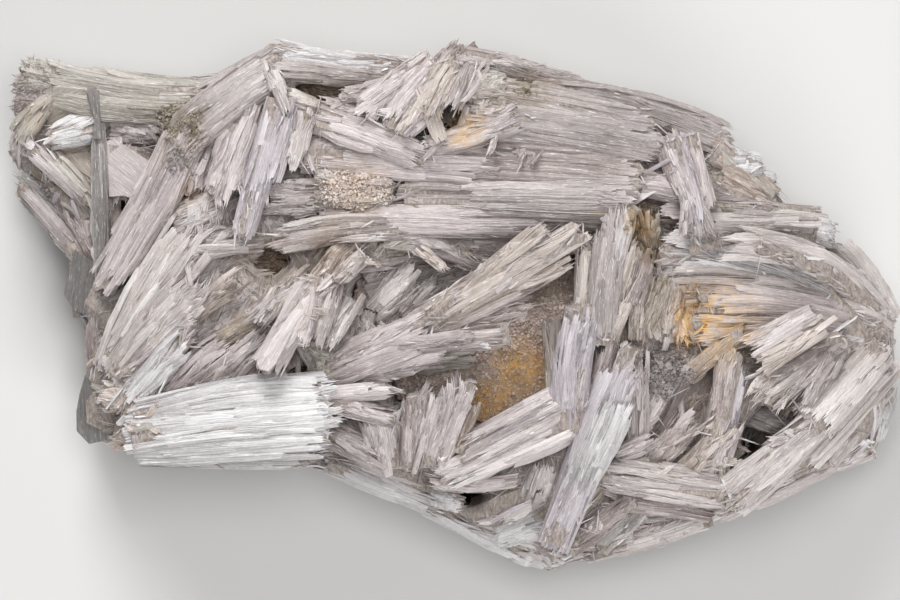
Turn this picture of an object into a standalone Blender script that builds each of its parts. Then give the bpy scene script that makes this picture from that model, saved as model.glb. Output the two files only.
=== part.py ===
"""A hand-sized cabinet specimen of tremolite: sheaves of long bladed crystals, grown together.

It lies on a flat sawn back, with the crystals facing up. X runs along its length and Z points up.
All lengths in the tables are millimetres.
"""

import math
import random

import bmesh
import bpy
from mathutils import Vector

MILLIMETRE = 0.001
LENGTH = 178.0
SEED = 11
PART_GAP = 0.3

# How the massive body steps up from the sawn back to the crystal side. Each step is a ring:
# share of the way from the outline in to the ridge line, and share of the local height.
BACK_RING = (0.40, 0.0)
FOOT_RING = (0.13, 0.18)
RIM_RING = (0.012, 0.46)
SHOULDER_RING = (0.09, 0.74)
BROW_RING = (0.30, 0.92)

# The ridge line that the body rises to: x, y, height of the back, height of the crystal side.
RIDGE_LINE = [
    (-79.0, 37.0, 5.0, 18.5),
    (-66.0, 21.0, 2.5, 19.5),
    (-56.0, -3.0, 0.0, 28.0),
    (-37.0, -2.0, 0.0, 31.4),
    (-16.0, 0.0, 0.0, 32.4),
    (5.0, 2.0, 0.0, 32.4),
    (27.0, -3.0, 0.0, 34.0),
    (48.0, -5.0, 0.0, 32.0),
    (68.0, -8.0, 0.0, 30.0),
]

# The outline seen from above, clockwise from the left end: x, y, index of its ridge point.
OUTLINE = [
    (-88.6, 38.6, 0),
    (-86.2, 44.4, 0),
    (-82.6, 47.6, 0),
    (-79.2, 45.6, 0),
    (-70.0, 43.6, 1),
    (-60.0, 42.0, 1),
    (-52.0, 41.0, 2),
    (-44.0, 45.4, 3),
    (-37.4, 49.6, 3),
    (-32.0, 50.8, 3),
    (-25.0, 49.4, 4),
    (-14.0, 47.6, 4),
    (-7.6, 47.6, 4),
    (-3.6, 49.4, 5),
    (3.0, 50.4, 5),
    (9.2, 48.2, 5),
    (19.0, 44.4, 6),
    (29.0, 40.6, 6),
    (36.0, 40.6, 6),
    (45.0, 36.8, 7),
    (54.0, 31.8, 7),
    (61.0, 28.6, 7),
    (65.4, 24.2, 8),
    (66.4, 20.2, 8),
    (73.0, 16.8, 8),
    (76.4, 13.4, 8),
    (76.6, 11.0, 8),
    (82.4, 4.8, 8),
    (87.2, -1.4, 8),
    (89.2, -5.2, 8),
    (89.0, -14.0, 8),
    (87.6, -18.6, 8),
    (88.4, -21.2, 8),
    (85.8, -28.6, 8),
    (79.8, -32.6, 8),
    (72.0, -35.8, 8),
    (62.0, -40.8, 7),
    (50.0, -44.2, 7),
    (40.0, -47.6, 6),
    (30.0, -51.4, 6),
    (24.2, -53.6, 6),
    (20.3, -55.6, 6),
    (16.0, -53.0, 5),
    (6.0, -48.8, 5),
    (-1.0, -45.0, 5),
    (-8.0, -39.8, 4),
    (-18.0, -36.0, 4),
    (-23.6, -32.6, 4),
    (-32.0, -33.6, 3),
    (-45.0, -32.4, 3),
    (-56.0, -32.6, 2),
    (-62.4, -31.2, 2),
    (-68.4, -29.4, 2),
    (-74.6, -26.8, 2),
    (-74.9, -20.0, 2),
    (-72.9, -13.0, 2),
    (-72.7, -5.4, 2),
    (-77.0, 0.4, 1),
    (-76.2, 7.4, 1),
    (-75.4, 10.6, 1),
    (-80.2, 16.6, 1),
    (-86.4, 23.4, 1),
    (-89.4, 30.2, 0),
    (-87.0, 34.6, 0),
]

# Hollows between the sheaves: name, x, y, height of the floor, radius along, radius across, turn in degrees.
HOLLOWS = [
    ("top_hollow", -26.0, 42.4, 12.0, 5.0, 3.2, 0.0),
    ("spray_gap", 1.5, 34.0, 21.0, 4.5, 2.4, 5.0),
    ("long_gap", 18.0, 28.4, 22.0, 10.0, 1.6, 2.0),
    ("crossing_gap", 41.2, 27.0, 18.0, 2.6, 3.2, 0.0),
    ("column_gap", 38.0, 13.0, 16.0, 3.0, 5.4, 12.0),
    ("stain_gap", 47.6, 0.8, 21.0, 3.0, 2.0, 0.0),
    ("lower_gap", 51.5, -15.4, 13.0, 6.2, 3.0, 28.0),
    ("great_gap", 63.0, -26.6, 7.0, 7.6, 4.6, 48.0),
    ("side_gap", 77.2, -12.2, 15.0, 4.4, 1.5, 52.0),
    ("foot_gap", 5.0, -39.4, 9.0, 3.6, 1.9, 8.0),
    ("rod_gap", -29.0, -14.0, 20.0, 5.2, 1.7, 25.0),
    ("brown_gap", -35.6, 8.0, 18.0, 4.2, 3.2, -15.0),
    ("left_gap", -55.0, -7.0, 17.0, 3.2, 1.6, 14.0),
    ("fan_gap", -53.2, 27.4, 16.0, 2.6, 3.2, -30.0),
    ("lobe_gap", -65.2, 18.4, 7.5, 1.1, 2.2, 15.0),
    ("lobe_slot", -71.9, 7.7, 7.0, 1.9, 0.9, -35.0),
]

# The central hollow's floor seen from above, clockwise, and its heights.
CRUST_EDGE = [
    (-17.5, 5.0),
    (-9.0, 9.4),
    (2.0, 8.2),
    (12.0, 5.0),
    (24.6, 8.6),
    (25.4, 1.0),
    (22.0, -4.6),
    (19.2, -11.0),
    (20.0, -18.6),
    (12.6, -22.4),
    (8.4, -25.4),
    (4.4, -23.6),
    (-2.0, -20.4),
    (-10.4, -20.0),
    (-11.4, -13.0),
    (-9.6, -7.6),
    (-17.0, -5.0),
    (-19.4, 0.4),
]
CRUST_MIDDLE = (4.0, -6.0)
CRUST_FLOOR = 17.5
CRUST_EDGE_TOP = 24.4
CRUST_RING_TOP = 25.6
CRUST_MIDDLE_TOP = 24.6
HOLLOW_RIM = 42.0
HOLLOW_FLARE = 1.14

# Crystal sheaves and blades. Each runs from its root to its tip along the crest of its upper face:
# name, root x y z, tip x y z, root width, tip width, depth, sideways bow, kind of form.
SHEAVES = [
    # Left lobe: thin, with a long silky edge, a frayed knob and crossing blades.
    ("edge_silk", (-47.0, 39.6, 25.0), (-80.5, 43.4, 21.5), 8.0, 8.6, 9.0, 1.4, "slab"),
    ("knob_upper", (-78.0, 43.6, 20.5), (-86.2, 45.6, 20.5), 6.5, 6.0, 10.0, 0.0, "knob"),
    ("tan_strand", (-79.8, 40.6, 22.0), (-86.8, 32.6, 20.5), 3.8, 4.2, 6.0, -0.5, "lath"),
    ("left_bulge", (-84.0, 34.0, 17.5), (-87.2, 29.6, 16.5), 5.0, 5.5, 8.0, 0.0, "knob"),
    ("white_silk", (-71.4, 35.2, 23.0), (-80.4, 32.4, 22.5), 6.4, 3.8, 6.0, 0.3, "block"),
    ("dark_blade", (-71.0, 33.0, 22.0), (-71.9, 42.4, 24.6), 1.8, 2.8, 4.0, 0.0, "blade"),
    ("long_blade", (-70.6, 34.0, 22.6), (-70.3, 1.0, 24.6), 2.3, 1.9, 6.0, 0.0, "lath"),
    ("buff_plate", (-71.8, 24.6, 19.0), (-79.0, 29.2, 18.4), 6.6, 1.8, 5.0, 0.0, "plate"),
    ("broad_plate", (-64.0, 30.6, 22.0), (-65.4, 20.4, 21.2), 9.4, 4.6, 6.0, 0.0, "plate"),
    ("rod_white", (-72.8, 19.6, 20.4), (-84.4, 30.4, 22.8), 2.6, 2.6, 6.0, 0.0, "lath"),
    ("left_edge", (-74.4, 8.6, 17.5), (-86.6, 23.0, 16.5), 3.4, 3.2, 7.0, 0.0, "lath"),
    ("glass_chunk", (-73.4, -3.0, 17.0), (-75.4, 9.2, 16.4), 5.6, 3.4, 9.0, 0.0, "glass"),
    # Diagonal sheaf down the left of the middle, and its broken lower companions.
    ("diagonal_upper", (-33.0, 47.0, 32.0), (-54.0, 31.6, 30.6), 8.6, 7.8, 10.0, -0.8, "slab"),
    ("diagonal_lower", (-53.4, 31.4, 32.0), (-69.4, 1.8, 28.4), 6.8, 4.6, 9.0, 0.5, "slab"),
    ("olive_lump", (-50.4, 36.2, 28.6), (-57.6, 35.0, 26.0), 7.6, 6.6, 8.0, 0.0, "knob"),
    ("middle_left", (-43.0, 20.6, 31.0), (-55.6, 14.6, 31.0), 8.0, 7.0, 8.0, 0.0, "block"),
    # Hanging fibres of the upper middle.
    ("hang_outer", (-34.0, 40.0, 34.0), (-41.2, 13.0, 37.4), 4.8, 3.2, 7.0, 0.0, "slab"),
    ("hang_third", (-42.2, 35.0, 32.0), (-47.6, 21.4, 34.2), 4.0, 2.6, 6.0, 0.0, "lath"),
    ("hang_inner", (-28.0, 39.0, 35.0), (-31.4, 27.4, 36.4), 3.8, 3.0, 6.0, 0.0, "lath"),
    # Left fan, spreading up and right from the lower left corner.
    ("fan_outer", (-68.2, -14.0, 28.4), (-51.4, 13.0, 33.6), 5.6, 7.6, 8.0, 1.0, "slab"),
    ("fan_second", (-67.2, -15.4, 30.0), (-50.8, 2.6, 34.6), 4.6, 5.8, 7.0, 0.4, "slab"),
    ("fan_third", (-65.0, -15.0, 31.0), (-51.4, -3.4, 34.8), 3.8, 3.8, 6.0, 0.0, "lath"),
    ("fan_low", (-65.6, -22.4, 31.6), (-53.0, -8.0, 34.6), 4.8, 3.6, 7.0, 0.0, "block"),
    ("fan_short", (-53.6, -20.0, 31.4), (-37.0, -8.0, 35.4), 4.4, 3.6, 7.0, 0.0, "lath"),
    ("left_rods", (-71.4, -17.0, 19.4), (-71.8, -4.6, 21.0), 2.8, 2.4, 7.0, 0.0, "lath"),
    ("glass_edge", (-72.2, -27.4, 15.0), (-71.6, -13.2, 18.4), 5.4, 2.6, 10.0, 0.0, "glass"),
    ("buff_block", (-62.6, -19.6, 29.6), (-69.4, -18.4, 27.4), 6.0, 6.8, 8.0, 0.0, "knob"),
    ("buff_rods", (-66.2, -29.0, 25.6), (-60.0, -18.6, 31.6), 2.8, 2.8, 6.0, 0.0, "lath"),
    # White bundle along the lower left, broken off square at its right end.
    ("white_upper", (-63.0, -24.2, 34.0), (-24.6, -18.8, 38.4), 5.6, 5.2, 9.0, 1.2, "slab"),
    ("white_middle", (-63.4, -26.8, 35.0), (-24.0, -22.8, 40.2), 4.8, 5.0, 9.0, 0.4, "slab"),
    ("white_lower", (-62.0, -29.4, 33.0), (-24.6, -26.8, 38.4), 4.8, 5.0, 9.0, -0.2, "slab"),
    ("white_skirt", (-61.0, -31.2, 27.0), (-28.6, -31.0, 31.0), 3.4, 4.6, 8.0, 0.0, "slab"),
    # White bundle along the top edge and the lip of the top hollow.
    ("top_white", (-6.8, 46.0, 29.6), (-36.6, 48.8, 29.4), 4.2, 5.4, 9.0, 0.6, "slab"),
    ("top_cross", (-4.0, 44.4, 36.0), (-21.6, 40.4, 34.4), 2.8, 2.8, 5.0, 0.0, "lath"),
    ("hollow_lip", (-24.4, 37.0, 34.0), (-32.8, 40.8, 34.0), 3.0, 2.8, 6.0, 0.0, "lath"),
    # Broad level band across the middle.
    ("arm_upper", (-26.4, 36.0, 35.4), (-5.4, 28.2, 38.2), 5.4, 3.8, 7.0, 0.4, "slab"),
    ("band_top", (-29.0, 29.0, 34.4), (8.0, 26.6, 37.0), 5.4, 5.4, 8.0, 0.0, "slab"),
    ("band_top_right", (-8.0, 27.4, 36.0), (38.0, 24.6, 36.4), 5.4, 5.4, 8.0, 0.4, "slab"),
    ("band_middle", (-9.0, 21.0, 36.2), (37.0, 19.6, 37.4), 6.4, 6.4, 8.0, 0.0, "slab"),
    ("band_jagged", (-6.0, 14.6, 36.4), (-34.4, 11.8, 35.0), 4.8, 4.8, 7.0, -1.2, "slab"),
    ("band_splinters", (-12.0, 13.4, 35.2), (9.0, 6.6, 31.8), 5.6, 3.8, 7.0, 1.0, "slab"),
    ("knot", (-27.0, 22.2, 35.6), (-11.4, 21.6, 36.4), 8.6, 8.0, 8.0, 0.0, "knob"),
    # Spray of crossing blades at the top middle.
    ("spray_left", (-4.0, 47.6, 35.6), (-17.0, 37.6, 38.4), 4.8, 5.6, 6.0, 0.0, "block"),
    ("spray_second", (-2.6, 46.8, 37.6), (-12.0, 34.6, 40.4), 3.8, 4.2, 6.0, 0.0, "lath"),
    ("spray_third", (0.0, 47.0, 38.6), (-9.6, 33.0, 41.4), 3.4, 2.2, 5.0, 0.0, "lath"),
    ("spray_fourth", (1.4, 47.4, 39.4), (-4.4, 36.6, 42.4), 3.8, 2.6, 5.0, 0.0, "lath"),
    ("spray_top", (-1.4, 45.0, 36.4), (3.0, 50.4, 32.6), 6.0, 4.8, 8.0, 0.0, "knob"),
    # Upper right fan along the falling top edge.
    ("far_edge", (3.0, 47.8, 34.4), (27.0, 40.8, 27.4), 4.8, 4.8, 9.0, 0.8, "slab"),
    ("far_edge_right", (16.0, 41.6, 32.4), (56.0, 30.8, 25.4), 5.8, 5.4, 9.0, 2.2, "slab"),
    ("far_silk", (5.0, 40.6, 38.4), (40.0, 33.6, 35.0), 5.8, 5.8, 7.0, 0.6, "slab"),
    ("far_silk_low", (5.0, 36.0, 39.4), (42.0, 30.6, 35.6), 5.8, 5.4, 7.0, 0.6, "slab"),
    ("rising_silk", (-4.0, 30.4, 38.6), (13.0, 36.0, 40.2), 3.8, 4.8, 6.0, -0.5, "block"),
    ("tangle_top", (2.2, 42.4, 38.6), (11.0, 42.2, 38.0), 4.8, 4.6, 6.0, 0.0, "knob"),
    # Blades crossing the band at the upper right, the tan plate and the pale knob.
    ("cross_long", (45.0, 32.2, 37.4), (49.6, 13.0, 40.6), 3.4, 2.4, 5.0, 0.0, "lath"),
    ("cross_right", (47.6, 33.0, 36.4), (51.4, 18.4, 38.8), 3.0, 1.8, 5.0, 0.0, "lath"),
    ("tan_plate", (53.0, 29.6, 27.6), (65.4, 20.8, 22.4), 4.6, 3.8, 7.0, 0.0, "plate"),
    ("pale_knob", (57.4, 27.0, 26.6), (62.4, 26.6, 24.4), 5.4, 5.0, 8.0, 0.0, "knob"),
    ("pale_knob_right", (60.8, 24.6, 24.4), (65.2, 23.2, 21.4), 4.6, 3.8, 7.0, 0.0, "knob"),
    ("right_low", (36.0, 23.8, 35.4), (51.0, 20.8, 36.4), 4.6, 3.8, 6.0, 0.0, "lath"),
    # Upper sheaf of the right end with its white frayed knob.
    ("upper_sheaf", (74.6, 16.6, 22.0), (50.4, 17.8, 35.4), 3.8, 3.8, 8.0, 0.0, "slab"),
    ("main_sheaf", (76.2, 13.0, 23.6), (48.0, 11.8, 37.4), 6.2, 6.6, 8.0, -1.2, "slab"),
    ("frayed_knob", (73.4, 14.0, 26.0), (76.8, 13.0, 25.6), 4.4, 4.6, 7.0, 0.0, "knob"),
    # Right fan, arching left from its apex at the right end.
    ("right_edge", (88.6, -4.2, 17.4), (77.4, 10.6, 20.4), 3.0, 3.4, 8.0, -1.0, "lath"),
    ("sheaf_bright", (88.0, -4.4, 21.6), (62.0, 10.6, 37.6), 3.0, 3.4, 8.0, -2.4, "slab"),
    ("sheaf_upper", (87.6, -4.4, 22.6), (42.0, 8.4, 37.4), 3.8, 6.6, 9.0, -3.0, "slab"),
    ("sheaf_middle", (87.0, -4.8, 23.6), (42.0, 3.2, 37.6), 3.8, 6.6, 9.0, -3.0, "slab"),
    ("sheaf_lower", (86.0, -5.4, 24.6), (50.0, -1.2, 38.4), 3.8, 5.8, 9.0, -1.5, "slab"),
    ("sheaf_stained", (84.0, -6.0, 25.6), (48.4, -6.0, 38.4), 3.8, 5.6, 9.0, -0.6, "slab"),
    ("under_fan", (79.0, -8.2, 30.6), (62.4, -18.6, 37.0), 4.8, 7.0, 8.0, 0.0, "slab"),
    ("apex", (88.8, -7.0, 18.6), (80.6, -7.4, 26.0), 6.6, 6.6, 9.0, 0.0, "block"),
    # Lower right sweep of broad silky sheaves.
    ("sweep_inner", (86.4, -8.8, 25.6), (72.0, -24.0, 36.4), 6.6, 5.8, 9.0, 0.0, "slab"),
    ("sweep_middle", (88.2, -11.8, 21.0), (69.0, -31.0, 34.4), 6.2, 6.6, 10.0, 0.0, "slab"),
    ("sweep_outer", (87.6, -16.4, 18.2), (73.0, -33.6, 27.2), 5.0, 5.0, 9.0, 0.0, "slab"),
    ("sweep_long", (73.4, -24.4, 35.0), (54.6, -39.8, 34.6), 5.8, 8.0, 10.0, 0.0, "slab"),
    ("sweep_low", (75.2, -31.0, 29.6), (52.6, -41.4, 29.4), 5.6, 4.8, 10.0, 0.0, "slab"),
    ("sweep_rim", (71.6, -35.6, 20.6), (49.4, -43.6, 21.6), 2.8, 3.2, 8.0, 0.0, "lath"),
    ("sweep_left", (57.4, -38.4, 33.6), (31.0, -34.8, 35.4), 6.4, 5.4, 8.0, 0.0, "slab"),
    ("right_rim", (88.0, -19.2, 16.4), (85.0, -28.4, 18.0), 3.8, 3.8, 9.0, 0.0, "knob"),
    ("right_rim_low", (85.0, -29.8, 15.4), (73.6, -34.6, 17.4), 3.6, 2.8, 8.0, 0.0, "lath"),
    ("foot_blade", (23.4, -50.0, 26.6), (36.4, -40.0, 33.4), 3.8, 3.4, 8.0, 0.0, "lath"),
    ("foot_blade_grey", (30.0, -50.4, 22.6), (38.8, -41.0, 30.4), 3.4, 3.4, 8.0, 0.0, "glass"),
    ("foot_plate", (28.0, -50.8, 17.4), (52.0, -43.6, 23.4), 3.8, 3.8, 9.0, -0.4, "plate"),
    ("tangle_left", (40.0, -33.0, 34.0), (48.0, -24.0, 36.6), 4.8, 4.6, 6.0, 0.0, "lath"),
    ("tangle_right", (53.0, -34.0, 34.4), (55.8, -25.4, 36.8), 3.8, 3.6, 6.0, 0.0, "lath"),
    ("lilac_blades", (53.0, -27.0, 36.4), (56.4, -10.8, 39.8), 4.4, 3.8, 7.0, 0.0, "block"),
    ("shaded_plate", (36.4, -33.6, 30.4), (49.6, -19.0, 30.8), 7.0, 6.4, 7.0, 0.0, "plate"),
    ("jagged_plate", (58.0, -6.4, 38.0), (47.2, -15.2, 40.0), 2.6, 3.2, 4.0, 0.0, "plate"),
    ("pale_plate", (44.4, -14.4, 34.0), (38.2, -24.4, 35.4), 3.8, 4.6, 5.0, 0.0, "plate"),
    ("dark_knot", (37.4, -17.4, 34.0), (47.6, -10.4, 34.0), 7.0, 7.0, 6.0, 0.0, "knob"),
    # Tall broken columns right of the centre, the highest crystals.
    ("column_tall", (29.6, -9.0, 41.0), (32.2, 15.0, 46.8), 5.6, 4.6, 12.0, 0.0, "slab"),
    ("column_spike", (31.6, 3.0, 44.6), (35.3, 17.8, 48.0), 3.0, 1.8, 6.0, 0.0, "blade"),
    ("column_right", (31.6, -8.0, 41.0), (36.6, 10.0, 45.6), 3.4, 3.4, 10.0, 0.0, "lath"),
    ("column_left", (26.0, -8.0, 40.0), (27.6, 10.4, 44.6), 3.8, 3.0, 10.0, 0.0, "lath"),
    ("lilac_shoulder", (23.6, -26.0, 38.0), (26.4, -1.4, 43.4), 6.6, 5.6, 12.0, 0.8, "slab"),
    ("white_column", (20.6, -49.0, 30.6), (36.0, -10.0, 42.6), 4.4, 4.8, 12.0, 0.0, "slab"),
    ("silk_sweep", (27.0, -17.6, 39.0), (2.0, -31.0, 37.2), 6.6, 4.8, 9.0, 0.0, "slab"),
    ("silk_sweep_low", (25.6, -23.4, 38.0), (-2.0, -35.2, 35.2), 6.6, 4.8, 9.0, 0.0, "slab"),
    # Hand of splinters reaching over the central hollow.
    ("hand_wrist", (-27.0, -15.6, 34.0), (-5.0, -6.2, 39.6), 6.6, 6.6, 7.0, 0.0, "slab"),
    ("hand_first", (-8.0, -5.0, 38.4), (14.0, 10.0, 45.4), 3.8, 2.8, 4.0, 0.0, "lath"),
    ("hand_second", (-5.0, -4.2, 39.4), (18.6, 14.0, 47.4), 3.8, 2.4, 4.0, 0.0, "lath"),
    ("hand_broad", (-3.0, -3.6, 40.0), (25.4, 13.6, 47.0), 4.6, 4.8, 4.5, 0.0, "slab"),
    ("hand_curled", (-8.0, -8.0, 37.4), (15.0, -1.6, 41.8), 3.8, 3.4, 4.5, 0.6, "lath"),
    ("hand_grey", (-9.0, -9.2, 38.0), (11.2, -6.6, 41.0), 3.8, 4.8, 4.5, 0.0, "plate"),
    ("hand_bright", (-13.0, -9.6, 38.4), (4.2, -7.4, 43.6), 2.5, 2.4, 4.0, 0.0, "lath"),
    # Loose blades and rods left of the central hollow.
    ("thick_rod", (-25.4, 3.6, 39.0), (-37.2, -13.8, 42.6), 4.4, 5.4, 7.0, 0.0, "knob"),
    ("bright_lump", (-29.0, 4.6, 36.4), (-38.4, -4.4, 38.6), 4.8, 3.8, 7.0, 0.0, "knob"),
    ("rod_second", (-26.4, 4.0, 39.4), (-29.2, -9.0, 41.6), 2.6, 2.4, 6.0, 0.0, "lath"),
    ("rod_pale", (-16.8, 9.0, 39.6), (-22.6, 4.0, 41.6), 2.7, 2.4, 11.0, 0.0, "lath"),
    ("mat_left", (-30.6, -4.0, 33.4), (-23.0, -14.0, 34.6), 6.6, 6.6, 6.0, 0.0, "block"),
    # Standing fibres below the central hollow, and the white strands beside them.
    ("stand_lilac", (-12.0, -33.6, 33.0), (-14.0, -24.0, 36.8), 6.4, 7.6, 12.0, 0.0, "block"),
    ("stand_first", (-8.0, -33.6, 34.0), (-7.0, -20.0, 38.8), 3.8, 3.8, 12.0, 0.0, "lath"),
    ("stand_third", (-4.2, -32.8, 35.4), (0.4, -18.6, 39.8), 4.6, 3.8, 12.0, 0.0, "lath"),
    ("stand_leaning", (-2.0, -32.0, 36.4), (4.2, -16.6, 40.8), 3.2, 2.4, 11.0, 0.0, "lath"),
    ("strand_lower", (-23.4, -20.6, 36.4), (-11.2, -24.0, 39.8), 2.6, 2.4, 5.0, 0.0, "lath"),
    # Glassy crystals and smooth rims along the pointed foot.
    ("glass_plate", (18.0, -37.4, 31.4), (4.4, -43.0, 27.4), 5.8, 7.0, 8.0, 0.0, "glass"),
    ("rim_left", (-24.0, -32.6, 20.4), (-2.0, -41.2, 21.0), 3.6, 4.2, 9.0, 0.0, "lath"),
    ("rim_middle", (-4.0, -41.2, 20.4), (15.0, -50.6, 17.8), 3.6, 3.8, 8.0, 0.0, "lath"),
    # Pale and grey needles right of the columns.
]

# Slabs stacked along the flanks: share of the way in, height share of the crest, width, depth.
FLANK_COURSES = [(0.05, 0.36, 7.0, 4.0)]
FLANK_STRIDE = 4

# Cross sections as shares of half the width, and how far each point reaches past the tip.
SLAB_SECTION = [(-1.0, -0.38), (-0.5, 0.02), (-0.05, -0.10), (0.45, 0.03), (1.0, -0.40)]
SLAB_REACH = [-0.4, 1.0, -0.7, 0.8, -0.5]
LATH_SECTION = [(-1.0, -0.50), (0.1, 0.03), (1.0, -0.46)]
LATH_REACH = [-0.6, 1.0, -0.8]
PLATE_SECTION = [(-1.0, -0.12), (0.2, 0.02), (1.0, -0.14)]
PLATE_REACH = [0.5, -0.3, 0.6]
GLASS_SECTION = [(-1.0, -0.62), (-0.45, 0.02), (0.50, -0.02), (1.0, -0.70)]
GLASS_REACH = [-0.6, 0.2, 0.3, -0.6]
BLADE_SECTION = [(-1.0, -0.60), (0.12, 0.05), (1.0, -0.52)]
BLADE_REACH = [-1.0, 1.2, -1.0]

FORMS = {
    "slab": (SLAB_SECTION, SLAB_REACH, (0.0, 0.5, 1.0), (1.0, 1.0, 1.0), 1.1),
    "block": (SLAB_SECTION, SLAB_REACH, (0.0, 1.0), (1.0, 0.97), 0.0),
    "lath": (LATH_SECTION, LATH_REACH, (0.0, 1.0), (1.0, 0.94), 0.0),
    "plate": (PLATE_SECTION, PLATE_REACH, (0.0, 1.0), (1.0, 1.0), 0.0),
    "glass": (GLASS_SECTION, GLASS_REACH, (0.0, 1.0), (1.0, 0.9), 0.0),
    "blade": (BLADE_SECTION, BLADE_REACH, (0.0, 1.0), (1.0, 0.8), 0.0),
    "knob": (SLAB_SECTION, SLAB_REACH, (0.0, 0.55, 1.0), (0.86, 1.0, 0.62), 0.5),
}


def in_metres(point):
    """Turn a point in millimetres into one in metres."""
    return Vector(point) * MILLIMETRE


def body_point(corner, ridge, share, level, noise):
    """A point of the massive body, from the outline inwards and from the back up."""
    x, y, index = corner
    ridge_x, ridge_y, low, high = ridge
    position = Vector((x, y, 0.0)).lerp(Vector((ridge_x, ridge_y, 0.0)), share)
    lift = low + (high - low) * level
    if level > 0.0:
        position.x += noise.uniform(-0.5, 0.5)
        position.y += noise.uniform(-0.5, 0.5)
        lift += noise.uniform(-0.7, 0.7)
    return in_metres((position.x, position.y, lift))


def add_massive_body(mesh):
    """Loft the body through its rings and close both sides onto the ridge line."""
    noise = random.Random(SEED)
    rings = []
    for share, level in (BACK_RING, FOOT_RING, RIM_RING, SHOULDER_RING, BROW_RING):
        ring = []
        for corner in OUTLINE:
            ridge = RIDGE_LINE[corner[2]]
            ring.append(mesh.verts.new(body_point(corner, ridge, share, level, noise)))
        rings.append(ring)
    count = len(OUTLINE)
    for lower, upper in zip(rings, rings[1:]):
        for index in range(count):
            following = (index + 1) % count
            mesh.faces.new((lower[following], lower[index], upper[index], upper[following]))
    backs = [mesh.verts.new(in_metres((x, y, low))) for x, y, low, high in RIDGE_LINE]
    crests = [mesh.verts.new(in_metres((x, y, high))) for x, y, low, high in RIDGE_LINE]
    for index in range(count):
        following = (index + 1) % count
        here = OUTLINE[index][2]
        there = OUTLINE[following][2]
        mesh.faces.new((rings[0][index], rings[0][following], backs[here]))
        mesh.faces.new((rings[-1][following], rings[-1][index], crests[here]))
        if here != there:
            mesh.faces.new((rings[0][following], backs[there], backs[here]))
            mesh.faces.new((rings[-1][following], crests[here], crests[there]))


def new_object(name, mesh, material=None, hidden=False):
    """Turn a bmesh into a named object with its faces pointing out."""
    bmesh.ops.recalc_face_normals(mesh, faces=mesh.faces)
    data = bpy.data.meshes.new(name)
    mesh.to_mesh(data)
    mesh.free()
    made = bpy.data.objects.new(name, data)
    bpy.context.collection.objects.link(made)
    if material is not None:
        data.materials.append(material)
    if hidden:
        made.hide_render = True
        made.display_type = "WIRE"
    return made


def add_sheaf(mesh, root, tip, widths, depth, bow, kind, up, noise):
    """Add one crystal or sheaf as a closed faceted prism with a ragged tip."""
    section, reach, stations, swell, arch = FORMS[kind]
    root = Vector(root)
    tip = Vector(tip)
    along = (tip - root).normalized()
    side = up.cross(along).normalized()
    rise = along.cross(side).normalized()
    rings = []
    for number, station in enumerate(stations):
        bend = 4.0 * station * (1.0 - station)
        centre = root.lerp(tip, station) + side * bow * bend + rise * arch * bend
        half = 0.5 * (widths[0] + (widths[1] - widths[0]) * station) * swell[number]
        drop = depth * (1.0 - 0.35 * station)
        last = number == len(stations) - 1
        points = []
        for place, (across, height) in enumerate(section):
            sway = noise.uniform(-0.05, 0.05)
            lift = noise.uniform(-0.07, 0.07)
            reached = along * reach[place] * min(1.6, 0.34 * half) if last else Vector()
            points.append(centre + side * half * (across + sway) + rise * half * (height + lift) + reached)
        under = -0.5 * min(1.6, 0.34 * half) if last else 0.0
        if kind == "blade":
            points.append(centre + along * 2.0 * under - rise * drop)
        else:
            points.append(centre + side * half * 0.66 - rise * drop + along * under)
            points.append(centre - side * half * 0.70 - rise * (drop * 0.94) + along * 1.4 * under)
        rings.append([mesh.verts.new(point * MILLIMETRE) for point in points])
    count = len(rings[0])
    for lower, upper in zip(rings, rings[1:]):
        for index in range(count):
            following = (index + 1) % count
            mesh.faces.new((lower[index], lower[following], upper[following], upper[index]))
    mesh.faces.new(list(reversed(rings[0])))
    mesh.faces.new(rings[-1])
    return mesh


def add_hollow(mesh, x, y, floor, along, across, turn):
    """Add a pit as an upside-down six-sided cone frustum, from its floor to above the crystals."""
    turned = math.radians(turn)
    rings = []
    for height, size in ((floor, 0.45), (floor + 8.0, 0.9), (60.0, 1.5)):
        ring = []
        for corner in range(7):
            angle = 2.0 * math.pi * corner / 7.0 + 0.3
            sideways = along * size * math.cos(angle)
            upward = across * size * math.sin(angle)
            place_x = x + sideways * math.cos(turned) - upward * math.sin(turned)
            place_y = y + sideways * math.sin(turned) + upward * math.cos(turned)
            ring.append(mesh.verts.new(in_metres((place_x, place_y, height))))
        rings.append(ring)
    for lower, upper in zip(rings, rings[1:]):
        for index in range(7):
            following = (index + 1) % 7
            mesh.faces.new((lower[index], lower[following], upper[following], upper[index]))
    mesh.faces.new(list(reversed(rings[0])))
    mesh.faces.new(rings[-1])


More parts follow.
